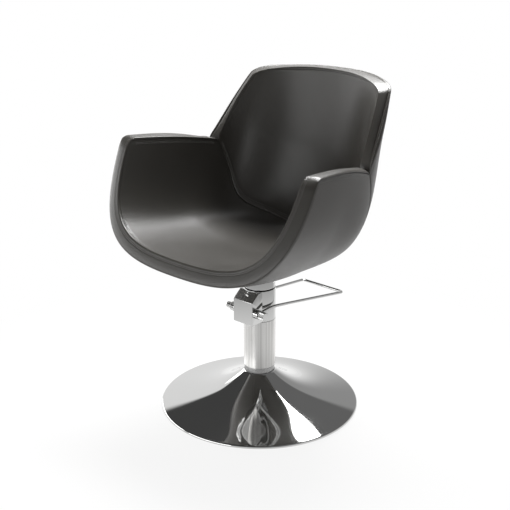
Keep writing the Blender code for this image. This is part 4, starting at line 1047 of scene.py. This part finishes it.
z0 = BLOCK_SHOULDER + (BLOCK_TOP - BLOCK_SHOULDER) * VALVE_PLACE + VALVE_LIFT * flat
tilted = np.stack([x, y0 + y * flat - z * steep, z0 + y * steep + z * flat], -1)
add_piece("valve_socket_screw", [(tilted, quads)], chrome, "base", ("valve_screw",), CAST_SHARP)

# %% [markdown]
# ## Pump lever
# The lever is a thin bent rod with its two ends in hubs on a cross shaft. A plain cap closes the shaft on one
# side and a knurled nut on the other. The rod is a circle carried along a path whose corners are rounded.

# %% Hubs, cap and nut
SHAFT_Y, SHAFT_Z, SHAFT_BORE, BORE_DEPTH = -0.052, 0.2825, 0.0063, 0.0087
HUB_RADIUS, CAP_RADIUS, NUT_RADIUS = 0.0125, 0.0085, 0.0105
KNURL, KNURL_DEPTH, KNURL_LOSS = 28, 0.0005, 0.2
KNURL_INNER, KNURL_RISE = 0.80, 0.18  # shares of the radius where the ribs start and over which they rise


def along_shaft(profile, sides, loop=False, radial=None):
    """A profile of radius and place along X, turned about the lever's shaft."""
    points, quads = turned(profile, sides, loop)
    if radial is not None:
        points[..., :2] *= radial(points)[..., None]
    return np.stack([points[..., 2], SHAFT_Y + points[..., 0], SHAFT_Z + points[..., 1]], -1), quads


def knurl(points):
    """Ribs: the radius swings with the angle, full on the rim and fading towards the faces."""
    r = np.hypot(points[..., 0], points[..., 1])
    rib = np.cos(np.arctan2(points[..., 1], points[..., 0]) * KNURL)
    full = np.clip((r - KNURL_INNER * NUT_RADIUS) / (KNURL_RISE * NUT_RADIUS), 0, 1)
    return 1 + KNURL_DEPTH / NUT_RADIUS * (rib - KNURL_LOSS) * full


for name, node in (("hub_left", "lever_hub_left"), ("hub_right", "lever_hub_right")):
    low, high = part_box(node)
    hub = eased(oblong(SHAFT_BORE, HUB_RADIUS, low.x, high.x), 0.0010, loop=True)
    add_piece(name, [along_shaft(hub, 72, True)], chrome, "lever", (node,), SHARP)
for name, node, face, radius, rounds, sides, ribs in (
        ("lever_end_cap", "lever_cap", 0, CAP_RADIUS, (0.0030, 0.0006), 72, None),
        ("knurled_nut", "lever_nut", 1, NUT_RADIUS, (0.0012, 0.0012), KNURL * 8, knurl)):
    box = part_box(node)
    outer, inner, bottom = box[face].x, box[1 - face].x, box[0].x + BORE_DEPTH
    cup = eased([(0, outer), (radius, outer), (radius, inner), (SHAFT_BORE, inner), (SHAFT_BORE, bottom),
                 (0, bottom)], [0.0005, *rounds, 0.0004, 0.0004, 0.0004])
    add_piece(name, [along_shaft(cup, sides, radial=ribs)], chrome, "lever", (node,), SHARP)

# %% Lever rod
ROD_RADIUS = 0.0040
KNEE, REAR = np.array([0.0505, -0.004, 0.2935]), np.array([0.072, 0.267, 0.2600])
KNEE_ROUND, REAR_ROUND = 0.020, 0.012
HUB_MIDDLE = np.array([0.0408, SHAFT_Y, SHAFT_Z])


def swept(path, radius, sides):
    """A circle carried along a path that never runs straight up, closed by a pole at each end."""
    ahead = unit(np.gradient(path, axis=0))
    level = unit(np.cross(ahead, (0.0, 0.0, 1.0)))
    rise = np.cross(level, ahead)
    turn = np.linspace(0, 2 * np.pi, sides, endpoint=False)[:, None]
    return closed(path[:, None] + radius * (np.cos(turn) * level[:, None] + np.sin(turn) * rise[:, None]))


aim = KNEE - HUB_MIDDLE
start = HUB_MIDDLE + aim * ((HUB_RADIUS - MM) / math.hypot(aim[1], aim[2]))
mirror = np.array([-1.0, 1.0, 1.0])
bends = np.array([start, KNEE, REAR, REAR * mirror, KNEE * mirror, start * mirror])
rod = eased(bends, [0, KNEE_ROUND, REAR_ROUND, REAR_ROUND, KNEE_ROUND, 0], steps=14)
add_piece("lever_rod", [swept(rod, ROD_RADIUS, 28)], chrome, "lever", ("lever_loop",), CUT_SHARP)

# %% [markdown]
# ## Seat collar
# The collar turns with the seat and hides the bush on the ram. Its lower edge is rounded and leaves a dark gap
# over the pump head.

# %% Collar
COLLAR_BORE, COLLAR_CAP = 0.0213, 0.009
collar_low, collar_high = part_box("seat_collar")
cap_below = collar_high.z - COLLAR_CAP
collar = eased([(0, collar_high.z), (collar_high.x, collar_high.z), (collar_high.x, collar_low.z),
                (COLLAR_BORE, collar_low.z), (COLLAR_BORE, cap_below), (0, cap_below)],
               [0.0004, 0.0008, 0.0014, 0.0006, 0.0004, 0.0004])
add_piece("swivel_collar", [turned(collar, 160)], chrome, "seat", ("seat_collar",), SHARP)

# %% [markdown]
# ## What stays from the CAD model
# The bolts, bushes, seals, plates and the spring have the right shape already and are mostly out of sight.
# Each gets the finish of its slot in the record; the core inside the tub is wrapped in black lining cloth.

# %% Finishes for the CAD pieces
kept = 0
for row in frame["record"]["subparts"]:
    node = frame["nodes"][row["node"]]
    node.data.materials.clear()
    node.data.materials.append(FINISHES[row["material_slot"]].material)
    kept += not node.hide_render
print(kept, "CAD pieces stay in sight")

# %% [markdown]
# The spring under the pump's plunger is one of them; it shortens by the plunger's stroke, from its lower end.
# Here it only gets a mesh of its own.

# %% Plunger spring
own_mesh(frame["nodes"]["plunger_spring"])
